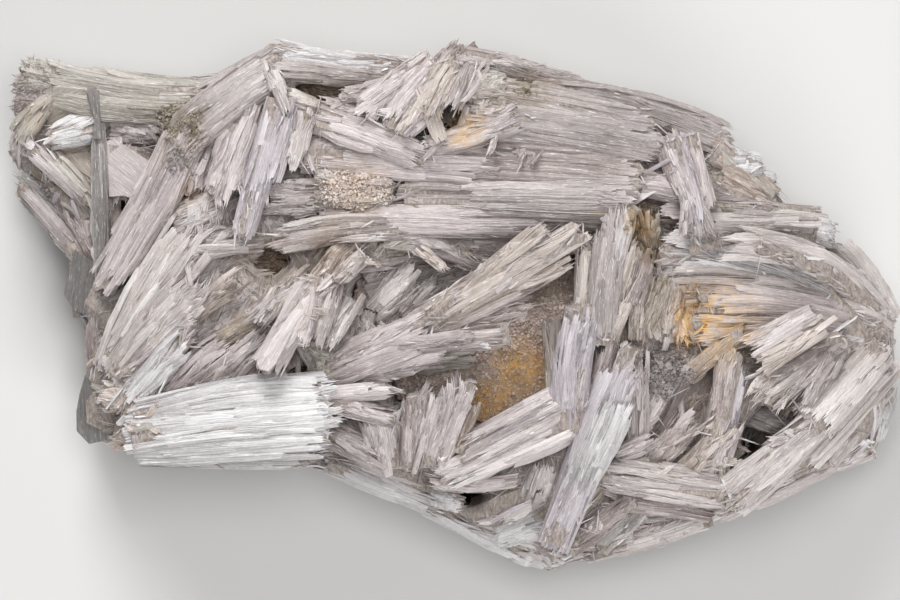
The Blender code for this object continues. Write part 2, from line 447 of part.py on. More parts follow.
def add_crust(mesh, spread, top):
    """Add the crust's form: a flat floor, an edge and a low uneven dome with one inner ring."""
    noise = random.Random(SEED + 5)
    middle = Vector(CRUST_MIDDLE)
    floors = []
    edges = []
    inners = []
    for point in CRUST_EDGE:
        outward = (Vector(point) - middle).normalized()
        edge = Vector(point) + outward * spread
        inner = middle.lerp(Vector(point), 0.55)
        wobble = noise.uniform(-0.9, 0.9)
        ripple = noise.uniform(-1.3, 1.3)
        floors.append(mesh.verts.new(in_metres((edge.x, edge.y, CRUST_FLOOR - spread))))
        edges.append(mesh.verts.new(in_metres((edge.x, edge.y, CRUST_EDGE_TOP + top + wobble))))
        inners.append(mesh.verts.new(in_metres((inner.x, inner.y, CRUST_RING_TOP + top + ripple))))
    crest = mesh.verts.new(in_metres((middle.x, middle.y, CRUST_MIDDLE_TOP + top)))
    count = len(CRUST_EDGE)
    for index in range(count):
        following = (index + 1) % count
        mesh.faces.new((floors[following], floors[index], edges[index], edges[following]))
        mesh.faces.new((edges[following], edges[index], inners[index], inners[following]))
        mesh.faces.new((inners[following], inners[index], crest))
    mesh.faces.new(floors)


def add_hollow_mouth(mesh):
    """Add the central hollow's open space: the crust's outline, flaring up through the body."""
    middle = Vector(CRUST_MIDDLE)
    lower = []
    upper = []
    for point in CRUST_EDGE:
        outward = (Vector(point) - middle).normalized()
        edge = Vector(point) + outward * PART_GAP
        flare = middle + (Vector(point) - middle) * HOLLOW_FLARE
        lower.append(mesh.verts.new(in_metres((edge.x, edge.y, CRUST_FLOOR - PART_GAP))))
        upper.append(mesh.verts.new(in_metres((flare.x, flare.y, HOLLOW_RIM))))
    count = len(CRUST_EDGE)
    for index in range(count):
        following = (index + 1) % count
        mesh.faces.new((lower[following], lower[index], upper[index], upper[following]))
    mesh.faces.new(lower)
    mesh.faces.new(list(reversed(upper)))


def new_material(name, colour, roughness):
    """A plain stone material."""
    made = bpy.data.materials.new(name)
    made.use_nodes = True
    shader = made.node_tree.nodes["Principled BSDF"]
    shader.inputs["Base Color"].default_value = (*colour, 1.0)
    shader.inputs["Roughness"].default_value = roughness
    shader.inputs["Metallic"].default_value = 0.0
    return made


def add_boolean(target, name, operation, collection=None, operand=None):
    """Join or cut the target with every form of a collection, or with one form."""
    step = target.modifiers.new(name, "BOOLEAN")
    step.operation = operation
    step.solver = "EXACT"
    if collection is not None:
        step.operand_type = "COLLECTION"
        step.collection = collection
    else:
        step.object = operand


def new_collection(name, members):
    """Gather hidden forms in a collection of their own."""
    gathered = bpy.data.collections.new(name)
    bpy.context.scene.collection.children.link(gathered)
    for member in members:
        bpy.context.collection.objects.unlink(member)
        gathered.objects.link(member)
    return gathered


def flank_forms(noise):
    """Lay two staggered courses of slabs along the flanks, where the cleaved sides show."""
    made = []
    count = len(OUTLINE)
    for course, (share, level, width, depth) in enumerate(FLANK_COURSES):
        for start in range(course, count, FLANK_STRIDE):
            end = (start + FLANK_STRIDE) % count
            ends = []
            for index in (start, end):
                x, y, ridge_index = OUTLINE[index]
                ridge_x, ridge_y, low, high = RIDGE_LINE[ridge_index]
                flat = Vector((x, y, 0.0)).lerp(Vector((ridge_x, ridge_y, 0.0)), share)
                flat.z = low + (high - low) * (level + noise.uniform(-0.05, 0.05))
                ends.append(flat)
            along = (ends[1] - ends[0]).normalized()
            outward = along.cross(Vector((0.0, 0.0, 1.0))) * -1.0
            up = (outward + Vector((0.0, 0.0, 0.25 if course else -0.2))).normalized()
            mesh = bmesh.new()
            add_sheaf(mesh, ends[0], ends[1], (width, width * 0.86), depth, 0.0, "lath", up, noise)
            made.append(new_object(f"flank_form_{course}_{start}", mesh, hidden=True))
    return made


def main():
    for item in list(bpy.data.objects):
        bpy.data.objects.remove(item, do_unlink=True)

    tremolite = new_material("tremolite, fibrous, pale lilac grey", (0.56, 0.51, 0.49), 0.45)
    stained = new_material("granular crust, iron stained", (0.42, 0.27, 0.13), 0.85)

    noise = random.Random(SEED + 1)
    body = bmesh.new()
    add_massive_body(body)
    crystal_mass = new_object("crystal_mass", body, tremolite)

    pits = []
    for name, x, y, floor, along, across, turn in HOLLOWS:
        pit = bmesh.new()
        add_hollow(pit, x, y, floor, along, across, turn)
        pits.append(new_object(name, pit, hidden=True))
    mouth = bmesh.new()
    add_hollow_mouth(mouth)
    pits.append(new_object("central_hollow", mouth, hidden=True))
    pit_forms = new_collection("hollow forms", pits)

    forms = []
    for name, root, tip, root_width, tip_width, depth, bow, kind in SHEAVES:
        sheaf = bmesh.new()
        widths = (root_width, tip_width)
        add_sheaf(sheaf, root, tip, widths, depth, bow, kind, Vector((0.0, 0.0, 1.0)), noise)
        forms.append(new_object(name + "_form", sheaf, hidden=True))
    forms.extend(flank_forms(noise))
    sheaf_forms = new_collection("sheaf forms", forms)

    room = bmesh.new()
    add_crust(room, PART_GAP, PART_GAP)
    crust_room = new_object("crust_room", room, hidden=True)

    add_boolean(crystal_mass, "hollows", "DIFFERENCE", collection=pit_forms)
    add_boolean(crystal_mass, "sheaves", "UNION", collection=sheaf_forms)
    add_boolean(crystal_mass, "crust seat", "DIFFERENCE", operand=crust_room)

    crust = bmesh.new()
    add_crust(crust, 0.0, 0.0)
    new_object("granular_crust", crust, stained)


main()
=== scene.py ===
"""Tremolite specimen: fine blades, needles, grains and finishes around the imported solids.

Sheaves of silky tremolite blades cross one another around a stained, granular hollow. The solids
carry the sheaves' forms; here every sheaf gets its strands, and the hollow and the knots their
grains. Lengths in the tables are in millimetres, in the frame of the solids: +X along the
specimen, +Z up from its flat back.
"""

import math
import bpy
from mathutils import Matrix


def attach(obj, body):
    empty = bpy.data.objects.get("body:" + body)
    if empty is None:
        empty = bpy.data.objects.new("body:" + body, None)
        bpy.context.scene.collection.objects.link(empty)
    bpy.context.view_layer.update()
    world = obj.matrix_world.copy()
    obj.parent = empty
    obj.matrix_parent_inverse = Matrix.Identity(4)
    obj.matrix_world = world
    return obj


bl_info = {
    "name": "Tremolite specimen",
    "version": (1, 0, 0),
    "blender": (4, 5, 0),
    "location": "View3D > Sidebar > Tremolite",
    "description": "Blades, grains and finishes of a fibrous tremolite specimen",
    "category": "Object",
}

from collections import namedtuple

import bpy
import bmesh
import numpy as np
from mathutils import Matrix, Vector
from mathutils.bvhtree import BVHTree

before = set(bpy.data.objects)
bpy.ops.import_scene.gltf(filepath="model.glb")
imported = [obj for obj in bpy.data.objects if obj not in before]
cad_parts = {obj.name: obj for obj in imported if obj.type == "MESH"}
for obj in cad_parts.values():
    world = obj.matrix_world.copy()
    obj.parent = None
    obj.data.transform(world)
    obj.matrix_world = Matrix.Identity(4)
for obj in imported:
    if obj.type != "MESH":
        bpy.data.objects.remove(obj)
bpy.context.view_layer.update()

MM = 0.001
SEED = 23
BODY = "root"

# Refractive indices of tremolite and of the grains.
TREMOLITE_INDEX = 1.62
GRAIN_INDEX = 1.6

# Lines that look for the upper side of the solids start above them and go down.
ABOVE_ALL = 80.0
DOWN = Vector((0.0, 0.0, -1.0))

# How many fibres and grains are scattered on the solids, and in how many patches of about one
# heading the fibres of a flank lie.
FLANK_FIBRES = 2080
FLANK_PATCHES = 46
GAP_FIBRES = 6250
CRUST_GRAINS = 5200

# Bundles lie up to this share of half the width from the middle of their sheaf. Some lie lower
# and are painted darker as shade, some end at its tip, and those that end past NEAR_TIP of its
# length reach over the tip.
OVER_EDGE = 1.25
LOW_BUNDLES = 0.45
END_BUNDLES = 0.35
NEAR_TIP = 0.84

# Width of a core sheet, area for each loose splinter, and fibres to a square millimetre of a
# frayed end.
CORE_WIDTH = 1.3
SPLINTER_AREA = 40.0
FRAYED_FIBRES = 5.0

# Thickness of a splinter as a share of its width, how many times as wide a chip is, and how far
# apart strands take their streaks from.
FLATNESS = 0.6
CHIP_WIDTH = 3.4
STREAK_SPAN = 60.0

# Triangles of the flanks: how far down and up they look, and their lowest height. Upper and lower
# flanks part at FLANK_MIDDLE. Triangles of the gaps: how far up they look, and their lowest height.
FLANK_DOWN, FLANK_UP = -0.9, 0.62
FLANK_FOOT = 0.8
FLANK_MIDDLE = -4.0
GAP_UP = 0.25
GAP_FOOT = 6.0

# Half the plan that the shelter map covers, and how far round a place it looks.
HALF_X = 100
HALF_Y = 70
SHELTER_REACH = 5

# Bevel along the edges of a cleavage face, its steepest slope, and how far a glassy one is domed.
FACE_BEVEL = 0.18
FACE_SLOPE = 0.6
GLASS_DOME = 0.7

# How far the floor lies under the specimen and where the lights look, in metres.
FLOOR_GAP = 0.0002
LIT_POINT = Vector((0.0, 0.0, 0.02))

# What is made once and used by every piece.
MATERIALS = {}
FORMS = {}

# ---------------------------------------------------------------------------------------------
# Sheaves, by part of the specimen. Each row: name, form, style, finish, root, tip, root width,
# tip width, depth, and a sideways bow where it has one. The form sets how much the sheaf arches,
# how far its sides droop and how far its face leans there.
# ---------------------------------------------------------------------------------------------
ARCH = {"slab": 1.1, "knob": 0.5}
DROOP = {"slab": 0.24}
LEAN = {"slab": 0.5}

SHEAVES = {}
SHEAVES["left_lobe"] = [
    ("edge_silk", "slab", "silk", "beige", (-47, 39.6, 25), (-80.5, 43.4, 21.5), 8, 8.6, 9, 1.4),
    ("knob_upper", "knob", "fray", "beige", (-78, 43.6, 20.5), (-86.2, 45.6, 20.5), 6.5, 6, 10),
    ("knob_middle", "knob", "fray", "mauve", (-78.5, 41, 20), (-87.6, 41.6, 19), 6.5, 6.5, 10),
    ("knob_lower", "lath", "fray", "band", (-80.5, 37.8, 19), (-87.2, 37.6, 17.5), 3.8, 4, 8),
    ("tan_strand", "lath", "splinter", "beige", (-79.8, 40.6, 22), (-86.8, 32.6, 20.5), 3.8, 4.2, 6, -0.5),
    ("left_bulge", "knob", "splinter", "pearl", (-84, 34, 17.5), (-87.2, 29.6, 16.5), 5, 5.5, 8),
    ("notch_mat", "plate", "mat", "silk", (-68, 35, 21.6), (-57, 33.6, 24), 5.2, 5, 5),
    ("white_silk", "block", "silk", "white", (-71.4, 35.2, 23), (-80.4, 32.4, 22.5), 6.4, 3.8, 6, 0.3),
    ("long_blade", "lath", "blade", "grey", (-70.6, 34, 22.6), (-70.3, 1, 24.6), 2.3, 1.9, 6),
    ("buff_plate", "plate", "blade", "buff", (-71.8, 24.6, 19), (-79, 29.2, 18.4), 6.6, 1.8, 5),
    ("broad_plate", "plate", "silk", "silk", (-64, 30.6, 22), (-65.4, 20.4, 21.2), 9.4, 4.6, 6),
    ("rod_white", "lath", "blade", "silk", (-72.8, 19.6, 20.4), (-84.4, 30.4, 22.8), 2.6, 2.6, 6),
    ("rod_cream", "blade", "blade", "cream", (-72.4, 20.8, 21), (-80, 29.6, 22.4), 2, 1.6, 5),
    ("rod_shadow", "lath", "splinter", "brown", (-74, 18, 17.4), (-84, 28.6, 18.6), 3.8, 3.8, 6),
    ("left_edge", "lath", "silk", "band", (-74.4, 8.6, 17.5), (-86.6, 23, 16.5), 3.4, 3.2, 7),
    ("lilac_rough", "lath", "splinter", "grey", (-74.6, 15, 16.4), (-86.8, 26.4, 15.4), 4.6, 4.8, 7),
    ("brown_corner", "lath", "splinter", "mauve", (-71.8, 9.4, 18.4), (-76.6, 19.8, 17.8), 3, 4.8, 6),
]
SHEAVES["diagonal"] = [
    ("diagonal_upper", "slab", "silk", "band", (-33, 47, 32), (-54, 31.6, 30.6), 8.6, 7.8, 10, -0.8),
    ("diagonal_edge", "lath", "silk", "band", (-36.6, 48.4, 27), (-51.4, 40.4, 24.4), 3.6, 3.6, 8),
    ("diagonal_lower", "slab", "silk", "silk", (-53.4, 31.4, 32), (-69.4, 1.8, 28.4), 8, 6.2, 9, 0.5),
    ("middle_left", "block", "lath", "pearl", (-43, 20.6, 31), (-55.6, 14.6, 31), 8, 7, 8),
    ("middle_left_top", "block", "splinter", "silk", (-45, 27, 29.6), (-54, 21.6, 29.4), 5, 6, 7),
    ("ledge_left", "lath", "lath", "band", (-37.6, 11, 34.4), (-55.6, 9.4, 33), 2.4, 2.4, 6),
    ("ledge_left_low", "lath", "splinter", "band", (-44, 13.4, 32), (-60, 9.6, 29.4), 3.8, 3.8, 6),
    ("left_twigs", "lath", "splinter", "white", (-58.2, 17.8, 27.6), (-60.2, 9.8, 28.6), 3.8, 3.8, 5),
]
SHEAVES["hanging"] = [
    ("hang_outer", "slab", "feather", "lilac", (-34, 40, 34), (-41.2, 13, 37.4), 4.8, 3.2, 7),
    ("hang_second", "lath", "feather", "silk", (-38.6, 38, 33), (-44.4, 20.4, 35.4), 4.4, 3.2, 7),
    ("hang_third", "lath", "feather", "silk", (-42.2, 35, 32), (-47.6, 21.4, 34.2), 4, 2.6, 6),
    ("hang_fourth", "lath", "lath", "lilac", (-31.4, 40, 35), (-36.4, 22.8, 36.4), 4.4, 3.4, 7),
    ("hang_inner", "lath", "lath", "pearl", (-28, 39, 35), (-31.4, 27.4, 36.4), 3.8, 3, 6),
    ("hang_short", "lath", "splinter", "mauve", (-45, 36, 31), (-52, 30, 32.4), 3, 2.6, 5),
    ("hang_left", "lath", "splinter", "silk", (-48.2, 30, 30.4), (-50.6, 22.8, 31.6), 3.2, 2.8, 5),
]
SHEAVES["left_fan"] = [
    ("fan_outer", "slab", "feather", "pearl", (-68.2, -14, 28.4), (-51.4, 13, 33.6), 6.4, 9, 8, 1),
    ("fan_second", "slab", "feather", "pearl", (-67.2, -15.4, 30), (-50.8, 2.6, 34.6), 5.6, 7.2, 7, 0.4),
    ("fan_third", "lath", "splinter", "silk", (-65, -15, 31), (-51.4, -3.4, 34.8), 4.6, 5, 6),
    ("fan_level", "lath", "splinter", "silk", (-63, -10.6, 30.6), (-51, -9, 32.8), 2.4, 2.2, 5),
    ("fan_low", "block", "splinter", "white", (-65.6, -22.4, 31.6), (-53, -8, 34.6), 5.6, 5, 7),
    ("fan_low_right", "lath", "splinter", "silk", (-59.6, -20.4, 30.6), (-44, -9, 34.6), 5.4, 5, 7),
    ("fan_short", "lath", "splinter", "silk", (-53.6, -20, 31.4), (-37, -8, 35.4), 5.2, 4.8, 7),
    ("fan_end", "lath", "splinter", "band", (-44.8, -18.6, 32.4), (-36.4, -9.4, 35.4), 3.8, 3.2, 6),
    ("fan_top", "lath", "splinter", "warm", (-52, -3, 31.4), (-42, 4.2, 34.6), 4, 3.6, 6),
    ("fan_middle", "lath", "splinter", "tan", (-47, -8.6, 31.4), (-36.4, -2.6, 35.4), 3.8, 3, 6),
    ("left_rods", "lath", "lath", "mauve", (-71.4, -17, 19.4), (-71.8, -4.6, 21), 2.8, 2.4, 7),
    ("rod_cross", "blade", "blade", "buff", (-71.6, -12, 22.6), (-66.4, -8.4, 24.6), 1.5, 1.4, 3),
    ("buff_block", "knob", "splinter", "buff", (-62.6, -19.6, 29.6), (-69.4, -18.4, 27.4), 6, 6.8, 8),
    ("buff_block_low", "knob", "splinter", "buff", (-61.6, -27.6, 27.6), (-67.6, -27.6, 24.4), 4.8, 4.6, 9),
    ("buff_rods", "lath", "lath", "buff", (-66.2, -29, 25.6), (-60, -18.6, 31.6), 2.8, 2.8, 6),
]
SHEAVES["white_bundle"] = [
    ("white_upper", "slab", "broken", "white", (-63, -24.2, 34), (-24.6, -18.8, 38.4), 7.2, 7, 9, 1.2),
    ("white_middle", "slab", "broken", "white", (-63.4, -26.8, 35), (-24, -22.8, 40.2), 6.8, 7.2, 9, 0.4),
    ("white_lower", "slab", "broken", "white", (-62, -29.2, 34.2), (-24.6, -26.6, 39.4), 6.4, 7, 9, -0.2),
    ("white_skirt", "slab", "broken", "white", (-61, -31.2, 27), (-28.6, -31, 31), 3.4, 4.6, 8),
]
SHEAVES["top_edge"] = [
    ("top_white", "slab", "feather", "white", (-6.8, 46, 29.6), (-36.6, 48.8, 29.4), 4.2, 5.4, 9, 0.6),
    ("top_white_low", "lath", "lath", "band", (-11.6, 44, 31.6), (-35, 45.6, 32.4), 2.8, 3, 6),
    ("top_cross", "lath", "lath", "mauve", (-4, 44.4, 36), (-21.6, 40.4, 34.4), 2.8, 2.8, 5),
    ("hollow_blade", "blade", "lath", "band", (-36, 46.8, 33), (-33.2, 39.8, 35.4), 3, 2.4, 4),
    ("hollow_lip", "lath", "silk", "cream", (-24.4, 37, 34), (-32.8, 40.8, 34), 3, 2.8, 6),
    # A brown mat standing as painted shade in the hollow, with its real stain.
    ("hollow_roof", "plate", "mat", "brown", (-31, 42.6, 27), (-21, 41.4, 28), 4.8, 4.6, 5),
    ("below_hollow", "plate", "lath", "silk", (-13, 36.2, 34), (-25.4, 38.6, 33.4), 4.8, 3.6, 6),
]
SHEAVES["band"] = [
    ("arm_upper", "slab", "silk", "silk", (-26.4, 36, 35.4), (-5.4, 28.2, 38.2), 5.4, 3.8, 7, 0.4),
    ("band_top", "slab", "silk", "silk", (-29, 29, 34.4), (8, 26.6, 37), 6.6, 6.8, 8),
    ("band_top_right", "slab", "silk", "mauve", (-8, 27.4, 36), (38, 24.6, 36.4), 6.8, 6.8, 8, 0.4),
    ("band_middle", "slab", "silk", "band", (-9, 21, 36.2), (37, 19.6, 37.4), 6.4, 6.4, 8),
    ("band_left", "slab", "splinter", "band", (-27, 20.6, 34.4), (-37.4, 20.4, 33.4), 6.4, 5.4, 7),
    ("band_jagged", "slab", "lath", "band", (-6, 14.6, 36.4), (-34.4, 11.8, 35), 4.8, 4.8, 7, -1.2),
    ("band_low", "slab", "silk", "silk", (-24, 15.8, 35.2), (20, 15.6, 36.4), 5.2, 6.2, 8),
    ("band_splinters", "slab", "splinter", "silk", (-12, 13.4, 35.2), (9, 6.6, 31.8), 5.6, 3.8, 7, 1),
    ("band_short", "lath", "splinter", "pearl", (0, 13, 34.4), (14, 10.2, 33), 4.6, 3.6, 6),
    ("band_under", "lath", "splinter", "band", (12, 17.8, 36.2), (33.6, 15.4, 35.4), 4.6, 3.6, 7),
    ("band_tip", "blade", "blade", "silk", (24, 21.4, 37.6), (34.4, 20.6, 38.6), 3.8, 3, 4),
]
SHEAVES["spray"] = [
    ("spray_left", "block", "feather", "silk", (-4, 47.6, 35.6), (-17, 37.6, 38.4), 4.8, 5.6, 6),
    ("spray_second", "lath", "feather", "silk", (-2.6, 46.8, 37.6), (-12, 34.6, 40.4), 3.8, 4.2, 6),
    ("spray_third", "lath", "feather", "warm", (0, 47, 38.6), (-9.6, 33, 41.4), 3.4, 2.2, 5),
    ("spray_fourth", "lath", "feather", "warm", (1.4, 47.4, 39.4), (-4.4, 36.6, 42.4), 3.8, 2.6, 5),
    ("spray_fifth", "blade", "blade", "band", (3.6, 46.4, 39.8), (0, 37.6, 42.4), 3, 1.6, 4),
    ("spray_hanging", "blade", "blade", "warm", (-5.6, 41.4, 40.4), (-1.6, 31, 40.4), 2.3, 2.4, 4),
    ("spray_cross", "blade", "blade", "silk", (-2.4, 38, 38.6), (-9, 32.2, 39.6), 1.8, 1.4, 4),
    ("spray_top", "knob", "splinter", "mauve", (-1.4, 45, 36.4), (3, 50.4, 32.6), 6, 4.8, 8),
    ("spray_right", "blade", "blade", "silk", (6.2, 45, 38.6), (1.2, 39.2, 41.4), 2.8, 2, 4),
    ("stain_blade", "blade", "blade", "warm", (3.6, 37, 38.4), (1.8, 31, 37.6), 2, 1.6, 4),
    ("tangle_top", "knob", "mat", "beige", (2.2, 42.4, 38.6), (11, 42.2, 38), 4.8, 4.6, 6),
]
SHEAVES["far_fan"] = [
    ("far_edge", "slab", "splinter", "band", (3, 47.8, 34.4), (27, 40.8, 27.4), 4.8, 4.8, 9, 0.8),
    ("far_edge_right", "slab", "lath", "band", (16, 41.6, 32.4), (56, 30.8, 25.4), 5.8, 5.4, 9, 2.2),
    ("far_edge_outer", "lath", "splinter", "pearl", (30, 40, 26), (50, 33.8, 22.4), 3.6, 3.4, 7, 1.2),
    ("far_silk", "slab", "silk", "band", (5, 40.6, 38.4), (40, 33.6, 35), 6.8, 6.8, 7, 0.6),
    ("far_silk_low", "slab", "silk", "band", (5, 36, 39.4), (42, 30.6, 35.6), 6.8, 6.6, 7, 0.6),
    ("rising_silk", "block", "silk", "silk", (-4, 30.4, 38.6), (13, 36, 40.2), 3.8, 4.8, 6, -0.5),
    ("far_low", "slab", "lath", "mauve", (8, 31.2, 37.4), (36, 28.6, 35.6), 3.4, 3.8, 6),
    ("small_up_left", "blade", "splinter", "band", (9.6, 33.6, 39.6), (7.8, 29.4, 40.6), 0.9, 0.7, 3),
    ("small_up", "blade", "splinter", "silk", (15.2, 30.6, 37.6), (13.8, 27, 38.8), 0.9, 0.7, 3),
    ("small_up_right", "blade", "splinter", "band", (18.6, 30.2, 37.6), (16.2, 27, 38.8), 1, 0.7, 3),
]
SHEAVES["crossing"] = [
    ("cross_left", "lath", "feather", "silk", (43.6, 32.6, 36.4), (48, 20, 39.6), 3, 2.8, 5),
    ("cross_long", "lath", "feather", "lilac", (45, 32.2, 37.4), (49.6, 13, 40.6), 3.4, 2.4, 5),
    ("cross_right", "lath", "feather", "silk", (47.6, 33, 36.4), (51.4, 18.4, 38.8), 3, 1.8, 5),
    ("cross_short", "blade", "blade", "mauve", (42, 31.2, 35.4), (46, 21, 37.8), 2.4, 2.4, 5),
    ("cross_small", "blade", "lath", "silk", (47, 21, 39.4), (46.3, 12, 40.6), 1.8, 1.4, 3),
    ("cross_low", "blade", "lath", "band", (49, 20, 39.4), (52.4, 12.6, 38.8), 2, 1.4, 3),
    ("tan_plate", "plate", "silk", "buff", (53, 29.6, 27.6), (65.4, 20.8, 22.4), 4.6, 3.8, 7),
    ("tan_plate_low", "plate", "lath", "buff", (55.2, 23.8, 28.6), (64.2, 18.8, 25.4), 5.6, 4, 7),
    ("pale_knob", "knob", "silk", "white", (57.4, 27, 26.6), (62.4, 26.6, 24.4), 5.4, 5, 8),
    ("pale_knob_right", "knob", "silk", "white", (60.8, 24.6, 24.4), (65.2, 23.2, 21.4), 4.6, 3.8, 7),
    ("right_low", "lath", "lath", "silk", (36, 23.8, 35.4), (51, 20.8, 36.4), 4.6, 3.8, 6),
    ("upper_sheaf", "slab", "silk", "silk", (74.6, 16.6, 22), (42.4, 18.4, 35.6), 3.8, 3.8, 8),
    ("main_sheaf", "slab", "silk", "pearl", (76.2, 13, 23.6), (43, 12.6, 36.6), 7.4, 7.8, 8, -1.2),
    ("middle_sheaf", "lath", "silk", "pearl", (73, 15, 26.6), (50, 15, 36.6), 3.8, 3.8, 6),
    ("frayed_knob", "knob", "feather", "white", (73.4, 14, 26), (76.8, 13, 25.6), 4.4, 4.6, 7),
    ("crossing_mat", "plate", "mat", "silk", (32, 27, 32.6), (50, 23, 31), 9, 9, 5),
    ("crossing_mat_low", "plate", "mat", "mauve", (34, 19, 31.6), (50, 16, 31), 8, 8, 5),
]
SHEAVES["right_fan"] = [
    ("right_edge", "lath", "silk", "pearl", (88.6, -4.2, 17.4), (77.4, 10.6, 20.4), 5, 6, 8, -1),
    ("sheaf_bright", "slab", "feather", "pearl", (88, -4.4, 21.6), (55, 11, 37.6), 4.4, 5.2, 8, -5),
    ("sheaf_upper", "slab", "feather", "white", (87.6, -4.4, 22.6), (42, 8.4, 37.4), 4.6, 8, 9, -3),
    ("sheaf_middle", "slab", "feather", "pearl", (87, -4.8, 23.6), (42, 3.2, 37.6), 4.6, 8.2, 9, -3),
    ("sheaf_lower", "slab", "feather", "silk", (86, -5.4, 24.6), (50, -1.2, 38.4), 4.6, 7.4, 9, -1.5),
    ("sheaf_stained", "slab", "feather", "silk", (84, -6, 25.6), (48.4, -6, 38.4), 4.4, 7, 9, -0.6),
    ("sheaf_plate", "plate", "lath", "silk", (72, -2.6, 37.4), (58.2, -10, 39.6), 3, 4.6, 5),
    ("sheaf_plate_low", "lath", "splinter", "warm", (74, -5.2, 36.4), (61, -13, 38.6), 3.8, 4.8, 6),
    ("under_fan", "slab", "feather", "band", (79, -8.2, 30.6), (62.4, -18.6, 37), 4.8, 7, 8),
    ("under_fan_right", "slab", "feather", "band", (77.6, -9.2, 31.6), (69.8, -19.6, 36.6), 3.8, 4.8, 7),
    ("apex", "block", "lath", "silk", (88.8, -7, 18.6), (80.6, -7.4, 26), 6.6, 6.6, 9),
    ("fan_left_end", "slab", "splinter", "silk", (52, 5.6, 34.6), (39, 3.6, 33.6), 7, 6.6, 6),
]
SHEAVES["sweep"] = [
    ("sweep_inner", "slab", "silk", "pearl", (86.4, -8.8, 25.6), (72, -24, 36.4), 7.6, 7.4, 9),
    ("sweep_middle", "slab", "silk", "pearl", (88.2, -11.8, 21), (69, -31, 34.4), 7.4, 8.2, 10),
    ("sweep_outer", "slab", "silk", "pearl", (87.6, -16.4, 18.2), (73, -33.6, 27.2), 5, 5, 9),
    ("sweep_long", "slab", "silk", "band", (74, -24.8, 35), (55.2, -40.4, 34.6), 5, 7, 10),
    ("sweep_low", "slab", "silk", "silk", (75.2, -31, 29.6), (52.6, -41.4, 29.4), 6.6, 6, 10),
    ("sweep_rim", "lath", "silk", "white", (71.6, -35.6, 20.6), (49.4, -43.6, 21.6), 2.8, 3.2, 8),
    ("sweep_left", "slab", "feather", "band", (57.4, -38.4, 33.6), (31, -34.8, 35.4), 6.4, 5.4, 8),
    ("sweep_left_low", "slab", "lath", "mauve", (52, -42.4, 27.6), (30.6, -38.4, 31.6), 3.8, 3.8, 9),
    ("right_rim", "knob", "silk", "white", (88, -19.2, 16.4), (85, -28.4, 18), 3.8, 3.8, 9),
    ("right_rim_low", "lath", "silk", "pearl", (85, -29.8, 15.4), (73.6, -34.6, 17.4), 3.6, 2.8, 8),
]
SHEAVES["lower_tangle"] = [
    ("foot_blade", "lath", "silk", "mauve", (23.4, -50, 26.6), (36.4, -40, 33.4), 3.8, 3.4, 8),
    ("foot_blade_grey", "glass", "silk", "grey", (30, -50.4, 22.6), (38.8, -41, 30.4), 3.4, 3.4, 8),
    ("foot_plate", "plate", "silk", "pearl", (28, -50.8, 17.4), (52, -43.6, 23.4), 3.8, 3.8, 9, -0.4),
    ("tangle_left", "lath", "splinter", "mauve", (40, -33, 34), (48, -24, 36.6), 4.8, 4.6, 6),
    ("tangle_middle", "lath", "splinter", "warm", (47, -34.6, 34.4), (54, -27, 36.8), 4.6, 3.8, 6),
    ("tangle_right", "lath", "splinter", "silk", (53, -34, 34.4), (55.8, -25.4, 36.8), 3.8, 3.6, 6),
    ("lilac_blades", "block", "feather", "mauve", (52.6, -27, 36.4), (55.6, -10.8, 39.8), 4.2, 3.6, 7),
    ("lilac_blades_right", "lath", "lath", "lilac", (55, -27.4, 35.4), (57.6, -12.6, 37.8), 2.6, 2.8, 7),
    ("shaded_plate", "plate", "lath", "brown", (36.4, -33.6, 30.4), (49.6, -19, 30.8), 7, 6.4, 7),
    ("jagged_plate", "plate", "lath", "brown", (58, -6.4, 38), (47.2, -15.2, 40), 2.6, 3.2, 4),
    ("pale_plate", "plate", "silk", "band", (44.4, -14.4, 34), (38.2, -24.4, 35.4), 3.8, 4.6, 5),
    ("cavity_wall", "plate", "splinter", "silk", (57.5, -21, 25), (69.5, -25, 22), 6, 5.6, 4),
    ("bright_tuft", "blade", "blade", "silk", (34, -30.6, 35.4), (41, -27.6, 37.6), 2.8, 2.4, 4),
    ("needle_block", "lath", "splinter", "warm", (37, -7.6, 37.4), (37.4, 2.6, 40.4), 2.6, 2.4, 6),
    ("needle_second", "blade", "splinter", "warm", (41, -7.4, 36.4), (39, 0.2, 38.4), 2.6, 2, 5),
    ("needle_third", "lath", "splinter", "silk", (43, -8.4, 35.4), (44, 0.2, 37.4), 2.8, 2.4, 5),
]
